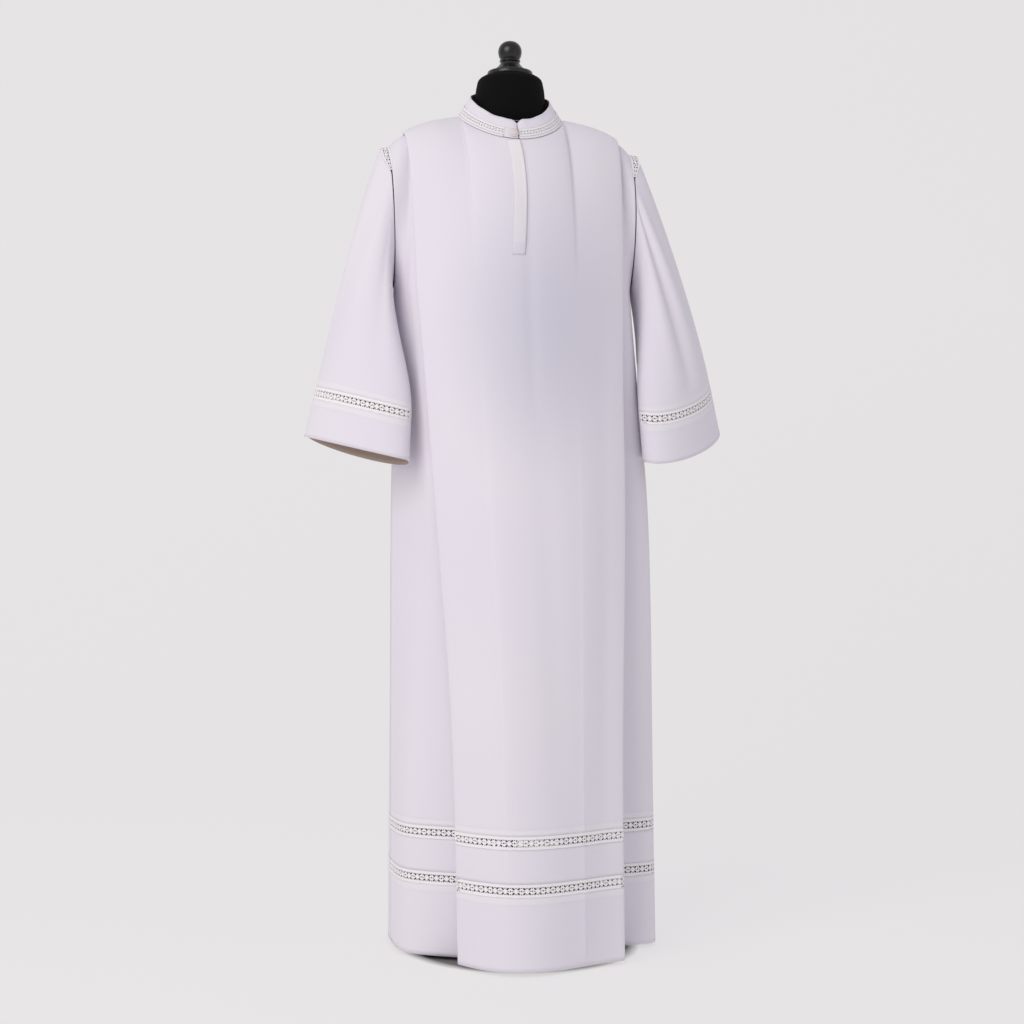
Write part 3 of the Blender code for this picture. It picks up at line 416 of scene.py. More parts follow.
def half_section(rows, face, side, z):
    """One half of a level section: the panel out to its fold, the tuck behind it, and the side."""

    def value(name):
        return smooth_at(rows, name, z)

    hand = "l" if side < 0 else "r"
    radius = SHOULDER_FOLD + (HEM_FOLD - SHOULDER_FOLD) * (1 - z / UNDERARM_Z)
    fold_x = value("fold_x")
    reach_l = value("fold_reach_l")
    reach_r = value("fold_reach_r")
    across = side * PANEL_SHARES
    reach = (reach_l * (1 - across) + reach_r * (1 + across)) / 2
    reach = reach + value("bulge") * (1 - across**2) * (1 - value("skew") * across)
    panel = list(np.column_stack([across * fold_x, face * reach]))
    travel = unit(panel[-1] - panel[-2])
    outer = arc(panel[-1], travel, inward_of(travel, face), radius)
    tuck = np.array([side * value("tuck_x"), face * value("tuck_reach")])
    back = unit(tuck - outer[-1])
    folded = [outer[-1] + (tuck - outer[-1]) * share for share in TUCK_SHARES]
    inner = arc(tuck, back, inward_of(back, face), radius)
    near = np.array([side * fold_x, face * value("near_reach_" + hand)])
    hip = np.array([side * value("hip_x_" + hand), face * value("hip_reach")])
    seam = np.array([side * value("seam_x"), value("seam_y")])
    beyond = seam + np.array([0, -face * 0.05])
    edge = spline([inner[-1], near, hip, seam, beyond], np.linspace(0, 1, 121))
    cut = edge[: 1 + int(np.argmin(np.linalg.norm(edge - seam, axis=1)))]
    sides = along(np.vstack([cut[:-1], seam]), SIDE_SHARES)
    centre = np.array([value("centre"), 0.0])
    return [point + centre for point in panel + outer + folded + inner + list(sides)]


def level_row(word, z):
    """A whole level section of the front or the back, from its seam at -X to its seam at +X."""
    face, rows = FACES[word]
    left = half_section(rows, face, -1.0, z)
    right = half_section(rows, face, 1.0, z)
    row = np.array(left[::-1] + right[1:])
    row[[0, -1], 1] += face * SEAM_GAP / 2
    return np.column_stack([row, np.full(len(row), z)])


print("columns of cloth across the front:", len(level_row("front", 0.5)))

# %% [markdown]
# Above the underarm the cloth runs from the shoulder seam and the neckline down to that first level
# section. Each column is a curve with a set direction at either end. The tuck has to lie flat under
# the panel there, so it is laid a few millimetres inside the panel's own surface.

# %% The collar's foot and the neckline
COLLAR_FOOT_X = 0.0850
COLLAR_TOP_X = 0.0652
NECKLINE_GAP = 0.0013


def collar_point(angle, share):
    """A point of the collar's surface, share 0 at its foot and 1 at its top edge."""
    c = math.cos(angle)
    s = math.sin(angle)
    foot = np.array([COLLAR_FOOT_X * s, -0.0800 * c - 0.0050 * c * c, 1.3730 - 0.033 * c - 0.016 * c * c])
    top = np.array([COLLAR_TOP_X * s, -0.0645 * c - 0.0010 * c * c, 1.4040 - 0.0335 * c - 0.0125 * c * c])
    return foot + (top - foot) * share


def neckline_point(x, face):
    """A point of the neckline just outside the collar's foot."""
    angle = math.asin(min(1.0, abs(x) / NECK_X))
    angle = angle if face < 0 else math.pi - angle
    foot = collar_point(angle, 0.0)
    return foot + unit(foot - collar_point(angle, 1.0)) * NECKLINE_GAP


def shoulder_z(x):
    return smooth_at(SHOULDER_SEAM, "z", abs(x), "x")


# %% The cloth between the shoulders and the underarm


def top_half(face, side):
    """The top edge of one half: the neckline, the shoulder seam, and the pleat folded under it."""
    down = np.array([0.0, 0.0, -1.0])
    seam_y = face * SEAM_GAP / 2
    panel = []
    for share in PANEL_SHARES:
        x = share * PLEAT_X
        panel.append(neckline_point(x, face) if x < NECK_X else np.array([x, seam_y, shoulder_z(x)]))
    travel = unit(panel[-1] - np.array([TUCK_X, seam_y, shoulder_z(TUCK_X)]))
    outer = arc(panel[-1], travel, down, SHOULDER_FOLD)
    folded = []
    for share in TUCK_SHARES:
        x = PLEAT_X + (TUCK_X - PLEAT_X) * share
        folded.append(np.array([x, seam_y, shoulder_z(x) - 2 * SHOULDER_FOLD]))
    inner = arc(folded[-1], -travel, down, SHOULDER_FOLD)
    sides = []
    for share in SIDE_SHARES:
        x = TUCK_X + (SHOULDER_X - TUCK_X) * share
        under = 4 * SHOULDER_FOLD * min(1.0, (SHOULDER_X - x) / (SHOULDER_X - PLEAT_X))
        sides.append(np.array([x, seam_y, shoulder_z(x) - under]))
    return [point * np.array([side, 1, 1]) for point in panel + outer + folded + inner + sides]


@functools.lru_cache
def column_ends(word):
    """For each column, its top point, its underarm point and the directions it has there."""
    face, _ = FACES[word]
    top = np.array(top_half(face, -1.0)[::-1] + top_half(face, 1.0)[1:])
    under = level_row(word, UNDERARM_Z)
    middle = len(top) // 2
    leave = []
    arrive = []
    for i, (start, end) in enumerate(zip(top, under)):
        way = end - start
        out = np.interp(abs(start[0]), [row.x for row in STARTS], [row.out for row in STARTS])
        drop = np.interp(abs(start[0]), [row.x for row in STARTS], [row.drop for row in STARTS])
        first = way * np.array([1.0, out, drop])
        last = way * np.array([0.6, ARRIVE_OUT, ARRIVE_DROP])
        if abs(i - middle) > SIDE_START:
            share = SIDE_SHARES[abs(i - middle) - SIDE_START - 1]
            bow = 4 * ARMHOLE_HALF_WIDTH * face
            first = first * (1 - share) + np.array([0.0, bow, -0.10]) * share
            last = last * (1 - share) + np.array([0.0, -bow, -0.20]) * share
        leave.append(first)
        arrive.append(last)
    return top, np.array(leave), under, np.array(arrive)


def lay_under(word, row, share):
    """Lays the tuck under the panel, in a row this share of the way down to the underarm, and the
    side cloth between the tuck and the armhole."""
    face, _ = FACES[word]
    top, leave, under, arrive = column_ends(word)
    way = (6 * share**2 - 6 * share) * (top - under)
    way = way + (3 * share**2 - 4 * share + 1) * leave + (3 * share**2 - 2 * share) * arrive
    inward = np.column_stack([face * way[:, 2], -face * way[:, 1]])
    inward /= np.linalg.norm(inward, axis=1, keepdims=True)
    middle = len(row) // 2
    covered = SIDE_START + int(np.searchsorted(SIDE_SHARES, 0.62, side="right"))
    blend = share * share * (3 - 2 * share)
    for side in (-1, 1):
        panel = middle + side * np.arange(len(PANEL_SHARES))

        def at_x(across, values, place):
            return np.interp(side * place, side * across[panel, 0], values[panel])

        for column in middle + side * np.arange(PANEL_END + 1, covered + 1):
            high = at_x(top, top[:, 2], top[column, 0]) - top[column, 2]
            low = at_x(under, face * under[:, 1], under[column, 0]) - face * under[column, 1]
            depth = high + (low - high) * blend
            x = row[column, 0]
            row[column, 1] = at_x(row, row[:, 1], x) + at_x(row, inward[:, 0], x) * depth
            row[column, 2] = at_x(row, row[:, 2], x) + at_x(row, inward[:, 1], x) * depth
        start = middle + side * covered
        edge = middle + side * middle
        for column in range(start + side, edge, side):
            part = (column - start) / (edge - start)
            high = top[column] - top[start] - (top[edge] - top[start]) * part
            low = under[column] - under[start] - (under[edge] - under[start]) * part
            row[column] = row[start] + (row[edge] - row[start]) * part + high + (low - high) * blend


# %% [markdown]
# ## Soft folds
# A robe that hangs from the shoulders falls in a few wide, shallow waves. Each is written as its
# place across the panel, how wide and how deep it is, and the heights between which it shows. The
# cloth is moved along its own surface direction, so a wave never thins it.

# %% The soft folds
Wave = namedtuple("Wave", "word across width depth low high lean")
WAVES = (
    Wave("front", 0.02, 0.05, -0.0022, 0.86, 1.24, 0.00),
    Wave("front", -0.40, 0.16, 0.0024, 0.05, 1.00, 0.10),
    Wave("front", 0.10, 0.14, -0.0022, 0.25, 0.95, -0.12),
    Wave("front", 0.52, 0.15, 0.0024, 0.02, 0.90, 0.08),
    Wave("front", -0.72, 0.10, -0.0015, 0.02, 0.80, 0.06),
    Wave("front", 0.80, 0.09, -0.0014, 0.10, 1.05, 0.00),
    Wave("back", -0.45, 0.14, 0.0040, 0.02, 1.05, 0.10),
    Wave("back", 0.05, 0.12, -0.0040, 0.02, 1.00, 0.00),
    Wave("back", 0.50, 0.14, 0.0040, 0.02, 1.05, -0.08),
)


def wave_depth(word, z):
    """How far each column of the cloth stands off its plain surface at this height."""
    count = 2 * (SIDE_START + len(SIDE_SHARES)) + 1
    middle = count // 2
    across = np.clip((np.arange(count) - middle) / PANEL_END, -1.6, 1.6)
    fade = np.clip((1.0 - np.abs(across)) / 0.12, 0, 1)
    depth = np.zeros(count)
    for wave in WAVES:
        if wave.word != word or not wave.low < z < wave.high:
            continue
        place = (z - wave.low) / (wave.high - wave.low)
        strength = math.sin(math.pi * min(1.0, place)) ** 0.6 if wave.low > 0.03 else (1 - place) ** 0.5
        centre = wave.across + wave.lean * (place - 0.5)
        depth += wave.depth * strength * np.exp(-(((across - centre) / wave.width) ** 2))
    return depth * fade


def grid_normals(grid, closed=False):
    """Directions square to a grid's surface at each of its points."""
    if closed:
        across = np.roll(grid, -1, axis=1) - np.roll(grid, 1, axis=1)
    else:
        across = np.gradient(grid, axis=1)
    normal = np.cross(across, np.gradient(grid, axis=0))
    return normal / np.maximum(np.linalg.norm(normal, axis=2, keepdims=True), 1e-12)


def outward_normals(grid, hub, closed=False):
    normals = grid_normals(grid, closed)
    return normals if ((grid - hub) * normals).sum() > 0 else -normals


TOP_ROWS = np.linspace(0, 1, 34)[:-1] ** 1.15


def robe_rows(word, levels, with_top=False):
    """The robe's surface as rows at the given heights, and first the cloth above the underarm."""
    rows = []
    if with_top:
        for share in TOP_ROWS:
            row = hermite(*column_ends(word), share)
            if share > 0:
                lay_under(word, row, share)
            rows.append(row)
    rows += [level_row(word, z) for z in levels]
    grid = np.array(rows)
    hub = np.array([0.01, 0.0, 0.0])
    normals = outward_normals(grid, hub * np.array([1, 1, 0]) + grid * np.array([0, 0, 1]))
    depth = np.array([wave_depth(word, float(row[len(row) // 2, 2])) for row in grid])
    return grid + normals * depth[:, :, None], normals


# %% [markdown]
# ## A thin sheet of cloth
# Each cut piece is a grid of points. It becomes a mesh with a map in metres, so the weave keeps its
# size, and it gets its thickness last. Rows near a seam can take the doubled cloth's finish.

# %% Sheets
THIN = 0.0006


def settle(thing):
    """Turns an object with its modifiers into a plain mesh."""
    graph = bpy.context.evaluated_depsgraph_get()
    mesh = bpy.data.meshes.new_from_object(thing.evaluated_get(graph))
    thing.modifiers.clear()
    thing.data = mesh
    return thing


def sheet_object(name, grid, normals, finishes, closed=False, doubled=(), thickness=THIN):
    """A thin closed shell of cloth on a grid. doubled lists the rows of faces in the second finish."""
    rows, columns = grid.shape[:2]
    spans = columns if closed else columns - 1
    first = np.arange(rows - 1)[:, None] * columns
    near = first + np.arange(spans)[None, :]
    far = first + (np.arange(spans)[None, :] + 1) % columns
    quads = np.stack([near, near + columns, far + columns, far], axis=2).reshape(-1, 4)
    a, b, c = (grid.reshape(-1, 3)[quads[:, k]] for k in range(3))
    facing = (np.cross(b - a, c - a) * normals.reshape(-1, 3)[quads[:, 0]]).sum()
    if facing < 0:
        quads = quads[:, ::-1]
    mesh = bpy.data.meshes.new(name)
    mesh.from_pydata(grid.reshape(-1, 3).tolist(), [], quads.tolist())
    u = np.cumsum(np.concatenate([[0], np.linalg.norm(np.diff(grid[rows // 2], axis=0), axis=1)]))
    v = np.cumsum(np.concatenate([[0], np.linalg.norm(np.diff(grid[:, columns // 2], axis=0), axis=1)]))
    u = np.append(u, u[-1] + np.linalg.norm(grid[rows // 2, 0] - grid[rows // 2, -1]))
    corner = np.arange(len(quads) * 4)
    loop_vertex = quads.reshape(-1)[corner]
    column = loop_vertex % columns
    if closed:
        wraps = (quads % columns).max(axis=1) - (quads % columns).min(axis=1) > columns // 2
        column = np.where(np.repeat(wraps, 4) & (column == 0), columns, column)
    layer = mesh.uv_layers.new(name="cloth")
    layer.data.foreach_set("uv", np.column_stack([u[column], -v[loop_vertex // columns]]).ravel())
    # The inner face of every sheet takes the inside finish, which is painted shade.
    for finish in [*finishes, INSIDE_IN_PAINTED_SHADE]:
        mesh.materials.append(finish)
    if len(doubled):
        row_of = np.repeat(np.arange(rows - 1), spans)
        mesh.polygons.foreach_set("material_index", np.isin(row_of, list(doubled)).astype(np.int32))
    mesh.validate()
    mesh.shade_smooth()
    thing = bpy.data.objects.new(name, mesh)
    scene.collection.objects.link(thing)
    wall = thing.modifiers.new("thickness", "SOLIDIFY")
    wall.thickness = thickness
    wall.offset = 0
    wall.material_offset = len(finishes)
    return settle(thing)


def area_of(grid, closed=False):
    """The area of one layer of a grid of cloth, in square metres."""
    ring = np.concatenate([grid, grid[:, :1]], axis=1) if closed else grid
    a = ring[1:, :-1] - ring[:-1, :-1]
    b = ring[:-1, 1:] - ring[:-1, :-1]
    return float(np.linalg.norm(np.cross(a, b), axis=2).sum())


def carried(piece, slot, *nodes):
    """Fixes a piece to the part's one body and hides the CAD nodes it stands for. Its slot, the name of its
    finish, is not used.
    """
    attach(piece, "root")
    if nodes:
        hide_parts(*nodes)


def declare(piece, slot, nodes, flat, held="hung", rests_on=("form_torso",), **options):
    """Fixes a sheet of cloth to the body, hides the CAD nodes that it replaces, and prints the size that it
    was cut to.
    """
    carried(piece, slot, *nodes)
    print(piece.name, "cut", [round(side, 3) for side in flat], "m")


# %% [markdown]
# ## Front and back
# The front and the back are each one length of cloth from the shoulder to the upper lace. The last
# 12 mm above the lace is doubled by the seam allowance behind it, and it shows as a lighter strip.

# %% Make the front and the back
ALLOWANCE = 0.012
half_gap = SEAM_GAP / 2
robe = {}
for word in FACES:
    levels = list(np.linspace(UNDERARM_Z, BODY_END_Z + half_gap + ALLOWANCE, 76))
    levels += [BODY_END_Z + half_gap + ALLOWANCE / 2, BODY_END_Z + half_gap]
    grid, normals = robe_rows(word, levels, with_top=True)
    robe[word] = (grid, normals)
    name = f"{word}_cloth"
    piece = sheet_object(name, grid, normals, [CLOTH, DOUBLED], doubled=(len(grid) - 3, len(grid) - 2))
    width = lengths_of(grid[-1])[-1]
    declare(piece, "alb_cloth", [word], (width, area_of(grid) / width), area=area_of(grid))

# %% [markdown]
# ## The bands below
# A plain band lies between the two laces, and a deep hem band hangs below them. The hem band's top
# edge is doubled as well, and its foot is turned up inside, so its edge is thicker.

# %% Make the plain bands and the hem bands
for word in FACES:
    levels = np.linspace(UPPER_LACE_Z - half_gap, PLAIN_BAND_Z + half_gap, 9)
    grid, normals = robe_rows(word, levels)
    piece = sheet_object(f"plain_band_{word}_cloth", grid, normals, [CLOTH, DOUBLED])
    declare(piece, "alb_cloth", [f"plain_band_{word}"], (lengths_of(grid[0])[-1], PLAIN_BAND))
    top = LOWER_LACE_Z - half_gap
    levels = [top, top - ALLOWANCE / 2, top - ALLOWANCE]
    levels += list(np.linspace(top - ALLOWANCE, HEM_Z, 14))[1:]
    grid, normals = robe_rows(word, levels)
    piece = sheet_object(
        f"hem_band_{word}_cloth", grid, normals, [CLOTH, DOUBLED], doubled=(0, 1), thickness=0.0009
    )
    declare(piece, "alb_cloth", [f"hem_band_{word}"], (lengths_of(grid[0])[-1], HEM_BAND))

# %% [markdown]
# ## Lace
# The insertion is a cotton lace about 19 mm wide with a narrow tape along each edge. Its pattern is
# an ordinary one: four leaf-shaped openings that lean round a middle hole, with small holes
# between them. One repeat is drawn flat as an outline with holes, which Blender fills. Geometry
# Nodes lay the repeats in a row, and the flat strip is then bent onto the cloth as a tailor lays it.

# %% One repeat of the lace
REPEAT = 0.0170
LACE_WIDTH = 0.0195
LACE_THICKNESS = 0.00045
PICOTS = 4
PICOT = 0.0005
Opening = namedtuple("Opening", "x y wide tall lean corners")
OPENINGS = (
    Opening(-4.3, 3.7, 5.6, 3.0, 40, 6),
    Opening(4.3, 3.7, 5.6, 3.0, -40, 6),
    Opening(-4.3, -3.7, 5.6, 3.0, -40, 6),
    Opening(4.3, -3.7, 5.6, 3.0, 40, 6),
    Opening(0.0, 4.9, 2.6, 2.2, 0, 4),
    Opening(0.0, -4.9, 2.6, 2.2, 0, 4),
    Opening(-7.3, 4.7, 1.9, 2.6, 0, 4),
    Opening(7.3, 4.7, 1.9, 2.6, 0, 4),
    Opening(-7.3, -4.7, 1.9, 2.6, 0, 4),
    Opening(7.3, -4.7, 1.9, 2.6, 0, 4),
    Opening(0.0, 0.2, 3.4, 2.8, 0, 4),
    Opening(-3.6, 0.0, 2.4, 2.2, 0, 4),
    Opening(3.6, 0.0, 2.4, 2.2, 0, 4),
)


def lace_outline():
    """The edge of one repeat, with its picots, and the openings inside it."""
    half = LACE_WIDTH / 2
    edge = []
    for side in (-1, 1):
        line = []
        for k in range(PICOTS * 2 + 1):
            x = -REPEAT / 2 + REPEAT * k / (PICOTS * 2)
            line.append((x, side * (half + (PICOT if k % 2 else 0.0))))
        edge += line[:: -side]
    holes = []
    for gap in OPENINGS:
        corners = 2 * math.pi * np.arange(gap.corners) / gap.corners
        leaf = np.column_stack([gap.wide / 2000 * np.cos(corners), gap.tall / 2000 * np.sin(corners)])
        c, s = math.cos(math.radians(gap.lean)), math.sin(math.radians(gap.lean))
        holes.append(np.array([gap.x, gap.y]) / 1000 + leaf @ np.array([[c, s], [-s, c]]))
    return edge, holes


def lace_motif():
    """One flat repeat of the lace, filled between its edge and its openings. Its two ends are left
    open, so that the repeats join into one strip."""
    edge, holes = lace_outline()
    curve = bpy.data.curves.new("lace_repeat", "CURVE")
    curve.dimensions = "2D"
    curve.fill_mode = "BOTH"
    curve.extrude = LACE_THICKNESS / 2
    for loop in [edge, *holes]:
        line = curve.splines.new("POLY")
        line.points.add(len(loop) - 1)
        line.points.foreach_set("co", np.array([(x, y, 0, 1) for x, y in loop]).ravel())
        line.use_cyclic_u = True
    flat = bpy.data.objects.new("lace_repeat", curve)
    scene.collection.objects.link(flat)
    graph = bpy.context.evaluated_depsgraph_get()
    mesh = bpy.data.meshes.new_from_object(flat.evaluated_get(graph))
    bpy.data.objects.remove(flat)
    shape = bmesh.new()
    shape.from_mesh(mesh)
    bmesh.ops.remove_doubles(shape, verts=shape.verts, dist=1e-6)
    ends = [face for face in shape.faces if all(abs(vert.co.x) > REPEAT * 0.499 for vert in face.verts)]
    bmesh.ops.delete(shape, geom=ends, context="FACES_ONLY")
    bmesh.ops.recalc_face_normals(shape, faces=shape.faces)
    shape.to_mesh(mesh)
    shape.free()
    mesh.materials.clear()
    mesh.materials.append(LACE)
    return bpy.data.objects.new("lace_motif", mesh)


motif = lace_motif()
print("one repeat of lace has", sum(len(face.vertices) - 2 for face in motif.data.polygons), "triangles")

# %% [markdown]
# The tree below takes the repeat, a count and a pitch. Mesh Line makes the places, Instance on
# Points sets a copy at each, Realize Instances turns them into one mesh, and Set Material finishes.

# %% Geometry Nodes that lay copies in a row


def new_tree(name, inputs):
    """An empty node tree for a modifier, with its named inputs."""
    tree = bpy.data.node_groups.new(name, "GeometryNodeTree")
    for label, kind in inputs:
        tree.interface.new_socket(label, in_out="INPUT", socket_type=kind)
    tree.interface.new_socket("Geometry", in_out="OUTPUT", socket_type="NodeSocketGeometry")
    return tree, add_node(tree, "NodeGroupInput"), add_node(tree, "NodeGroupOutput")


def set_inputs(modifier, values):
    """Sets a node modifier's inputs by their sockets' identifiers."""
    for item in modifier.node_group.interface.items_tree:
        if item.in_out == "INPUT" and item.name in values:
            modifier[item.identifier] = values[item.name]


row_tree, row_in, row_out = new_tree(
    "copies_in_a_row",
    [
        ("Geometry", "NodeSocketGeometry"),
        ("Copy", "NodeSocketObject"),
        ("Count", "NodeSocketInt"),
        ("Pitch", "NodeSocketVector"),
        ("Material", "NodeSocketMaterial"),
    ],
)
row_line = add_node(
    row_tree, "GeometryNodeMeshLine", {"Count": row_in.outputs["Count"], "Offset": row_in.outputs["Pitch"]}
)
row_copy = add_node(row_tree, "GeometryNodeObjectInfo", {"Object": row_in.outputs["Copy"]})
row_set = add_node(
    row_tree,
    "GeometryNodeInstanceOnPoints",
    {"Points": row_line.outputs["Mesh"], "Instance": row_copy.outputs["Geometry"]},
)
row_real = add_node(row_tree, "GeometryNodeRealizeInstances", {"Geometry": row_set.outputs["Instances"]})
row_done = add_node(
    row_tree,
    "GeometryNodeSetMaterial",
    {"Geometry": row_real.outputs["Geometry"], "Material": row_in.outputs["Material"]},
)
row_tree.links.new(row_done.outputs["Geometry"], row_out.inputs["Geometry"])


def flat_strip(name, count):
    """A flat strip of lace with this many repeats, as a mesh whose length runs along X from 0."""
    thing = bpy.data.objects.new(name, bpy.data.meshes.new(name))
    scene.collection.objects.link(thing)
    modifier = thing.modifiers.new("row", "NODES")
    modifier.node_group = row_tree
    set_inputs(modifier, {"Copy": motif, "Count": count, "Pitch": (REPEAT, 0.0, 0.0), "Material": LACE})
    settle(thing)
    shape = bmesh.new()
    shape.from_mesh(thing.data)
    bmesh.ops.translate(shape, vec=(REPEAT / 2, 0, 0), verts=shape.verts)
    bmesh.ops.remove_doubles(shape, verts=shape.verts, dist=1e-5)
    shape.to_mesh(thing.data)
    shape.free()
    return thing


# %% [markdown]
# Bending the strip is a change of place for each point: how far it lies along the strip picks a
# column of the cloth, how far across picks the height, and its own thickness goes outwards.

# %% Bend a strip of lace onto the cloth


def lace_on(name, grid, normals, closed=False, lift=0.0004, size=1.0):
    """A strip of lace bent onto a band of cloth, whose rows run from its upper to its lower edge.
    size is the pattern's own size: a narrower lace has a finer pattern."""
    if closed:
        grid = np.concatenate([grid, grid[:, :1]], axis=1)
        normals = np.concatenate([normals, normals[:, :1]], axis=1)
    middle = grid[len(grid) // 2]
    lengths = lengths_of(middle)
    count = max(1, round(lengths[-1] / (REPEAT * size)))
    thing = flat_strip(name, count)
    mesh = thing.data
    points = np.empty(len(mesh.vertices) * 3)
    mesh.vertices.foreach_get("co", points)
    points = points.reshape(-1, 3)
    column = np.interp(points[:, 0] / (count * REPEAT) * lengths[-1], lengths, np.arange(len(lengths)))
    row = (0.5 - points[:, 1] / LACE_WIDTH) * (len(grid) - 1)
    low = np.clip(column.astype(int), 0, len(lengths) - 2)
    up = np.clip(row.astype(int), 0, len(grid) - 2)
    s = (column - low)[:, None]
    t = (row - up)[:, None]

    def read(values):
        high = values[up, low] * (1 - s) + values[up, low + 1] * s
        foot = values[up + 1, low] * (1 - s) + values[up + 1, low + 1] * s
        return high * (1 - t) + foot * t

    place = read(grid) + read(normals) * (points[:, 2:3] + lift)
    mesh.vertices.foreach_set("co", place.ravel())
    mesh.update()
    shape = bmesh.new()
    shape.from_mesh(mesh)
    bmesh.ops.remove_doubles(shape, verts=shape.verts, dist=1e-6)
    bmesh.ops.holes_fill(shape, edges=[edge for edge in shape.edges if edge.is_boundary], sides=0)
    bmesh.ops.recalc_face_normals(shape, faces=shape.faces)
    shape.to_mesh(mesh)
    shape.free()
    mesh.shade_smooth()
    mesh.set_sharp_from_angle(angle=math.radians(45))
    return thing, lengths[-1]


# %% Hem laces, front and back
OVERLAP = (LACE_WIDTH - LACE_BAND) / 2
for word in FACES:
    for name, foot in (("upper_lace", UPPER_LACE_Z), ("lower_lace", LOWER_LACE_Z)):
        levels = np.linspace(foot + LACE_BAND + OVERLAP, foot - OVERLAP, 5)
        grid, normals = robe_rows(word, levels)
        piece, length = lace_on(f"{name}_{word}_strip", grid, normals)
        declare(piece, "alb_lace", [f"{name}_{word}"], (length, LACE_WIDTH))

# %% [markdown]
# ## Sleeves
# Each sleeve is a wide tube that leaves the armhole, falls, and ends in a flattened oval cuff. It
# hangs a little in front of the body's side, so any point that would pass into the body is moved
# out to where the cloth would rest. The lace goes all round, above a plain cuff band.

# %% Tables of the sleeves
SLEEVE_FALL = -0.30
ARMHOLE_LACE = 0.012
ARMHOLE_LACE_END = 0.30
ARMHOLE_LACE_TAPER = 0.20
ARMHOLE_GAP = 0.0016
CUFF_BAND = 0.065
CUFF_OUTER = (0.345, 0.050)
CUFF_INNER = (0.198, -0.100)
CUFF_SWING = 0.0135
FRONT_BOW = 0.050
BACK_BOW = 0.036
SLEEVE_FOLD_SHARE = 0.74
SLEEVE_CLEAR = 0.004
SLEEVE_COLUMNS = 120
Cuff = namedtuple("Cuff", "side word outer_z inner_z front_drop back_drop")
CUFFS = (
    Cuff(-1.0, "left", 0.841, 0.800, -0.006, 0.018),
    Cuff(1.0, "right", 0.866, 0.798, 0.012, 0.000),
)

# %% Sleeve surfaces


@functools.lru_cache(maxsize=None)
def side_line(side, step):
    """The side cloth's places across, by depth, near this height in steps of 5 mm."""
    lines = {}
    for word in FACES:
        row = level_row(word, min(step * 0.005, UNDERARM_Z))
        edge = row[-len(SIDE_SHARES) :] if side > 0 else row[: len(SIDE_SHARES)]
        order = np.argsort(edge[:, 1])
        lines[word] = (edge[order, 1], side * edge[order, 0])
    return lines


def clear_of_body(side, rings):
    """Moves the points of a sleeve's rings out to where they just clear the side of the robe."""
    for point in rings.reshape(-1, 3):
        if point[2] < UNDERARM_Z + 0.05:
            word = "front" if point[1] < smooth_at(FRONT, "seam_y", point[2]) else "back"
            depth, reach = side_line(side, round(point[2] / 0.005))[word]
            point[0] = side * max(side * point[0], np.interp(point[1], depth, reach) + SLEEVE_CLEAR)


def armhole_point(side, turn):
    """A point of the body's armhole edge: 0 at the shoulder, 1 at the underarm, 2 behind again."""
    word = "front" if turn <= 1 else "back"
    share = turn if turn <= 1 else 2 - turn
    i = -1 if side > 0 else 0
    point = hermite(*(ends[i] for ends in column_ends(word)), share)
    return point - np.array([0, FACES[word][0] * SEAM_GAP / 2, 0]) * (share in (0, 1))


def cuff_ring(cuff, angles):
    """The flattened ring of the cuff's edge, and the direction up the sleeve at each point."""
    swing = np.array([CUFF_SWING, 0, 0])
    mirror = np.array([cuff.side, 1, 1])
    outer = np.array([*CUFF_OUTER, cuff.outer_z])
    inner = np.array([*CUFF_INNER, cuff.inner_z])
    axis = (outer - inner) / 2
    off = unit(np.array([-axis[1], axis[0], 0.0]))
    off = off if off[1] < 0 else -off
    ring = []
    up = []
    for angle in angles:
        s = math.sin(angle)
        bow = FRONT_BOW if s > 0 else BACK_BOW
        drop = cuff.front_drop if s > 0 else cuff.back_drop
        point = (outer + inner) / 2 + axis * math.cos(angle) + off * bow * s
        point[2] -= drop * abs(s)
        ring.append(point * mirror + swing)
        lean = (1 + math.cos(angle)) / 2
        up.append(unit(np.array([-0.05 - 0.19 * lean, 0.10 - 0.14 * lean, 1.0])) * mirror)
    return np.array(ring), np.array(up)


def armhole_turn(angle):
    """Where a column of the sleeve meets the armhole."""
    half = angle / math.pi
    if half <= 1:
        return half * SLEEVE_FOLD_SHARE
    return SLEEVE_FOLD_SHARE + (half - 1) * (2 - SLEEVE_FOLD_SHARE)


def lace_width(turn):
    """The armhole insertion is full width over the shoulder and runs out to nothing lower down."""
    share = abs(turn if turn <= 1 else turn - 2)
    fade = min(1.0, max(0.0, (ARMHOLE_LACE_END - share) / ARMHOLE_LACE_TAPER))
    return ARMHOLE_LACE * fade * fade * (3 - 2 * fade)


def even_angles():
    """Even steps round the cuff's edge, as angles."""
    dense = np.linspace(0, 2 * math.pi, 481)
    ring, _ = cuff_ring(CUFFS[0], dense)
    lengths = lengths_of(ring)
    return np.interp(np.linspace(0, lengths[-1], SLEEVE_COLUMNS + 1)[:-1], lengths, dense)


# %% [markdown]
# A sleeve's own folds start at the shoulder and fade towards the cuff. Each is a place round the
# tube, a width and a depth.

# %% Make the sleeves
Crease = namedtuple("Crease", "word angle width depth low high")
CREASES = (
    Crease("right", 1.75, 0.14, -0.0080, 0.00, 0.95),
    Crease("right", 1.40, 0.22, 0.0050, 0.05, 1.00),
    Crease("right", 2.15, 0.22, 0.0035, 0.10, 1.00),
    Crease("right", 4.60, 0.35, -0.0040, 0.05, 0.90),
    Crease("left", 1.45, 0.35, 0.0040, 0.05, 0.95),
    Crease("left", 2.20, 0.25, -0.0030, 0.10, 0.90),
    Crease("left", 0.75, 0.25, -0.0025, 0.10, 1.00),
    Crease("left", 4.60, 0.35, -0.0040, 0.05, 0.90),
)


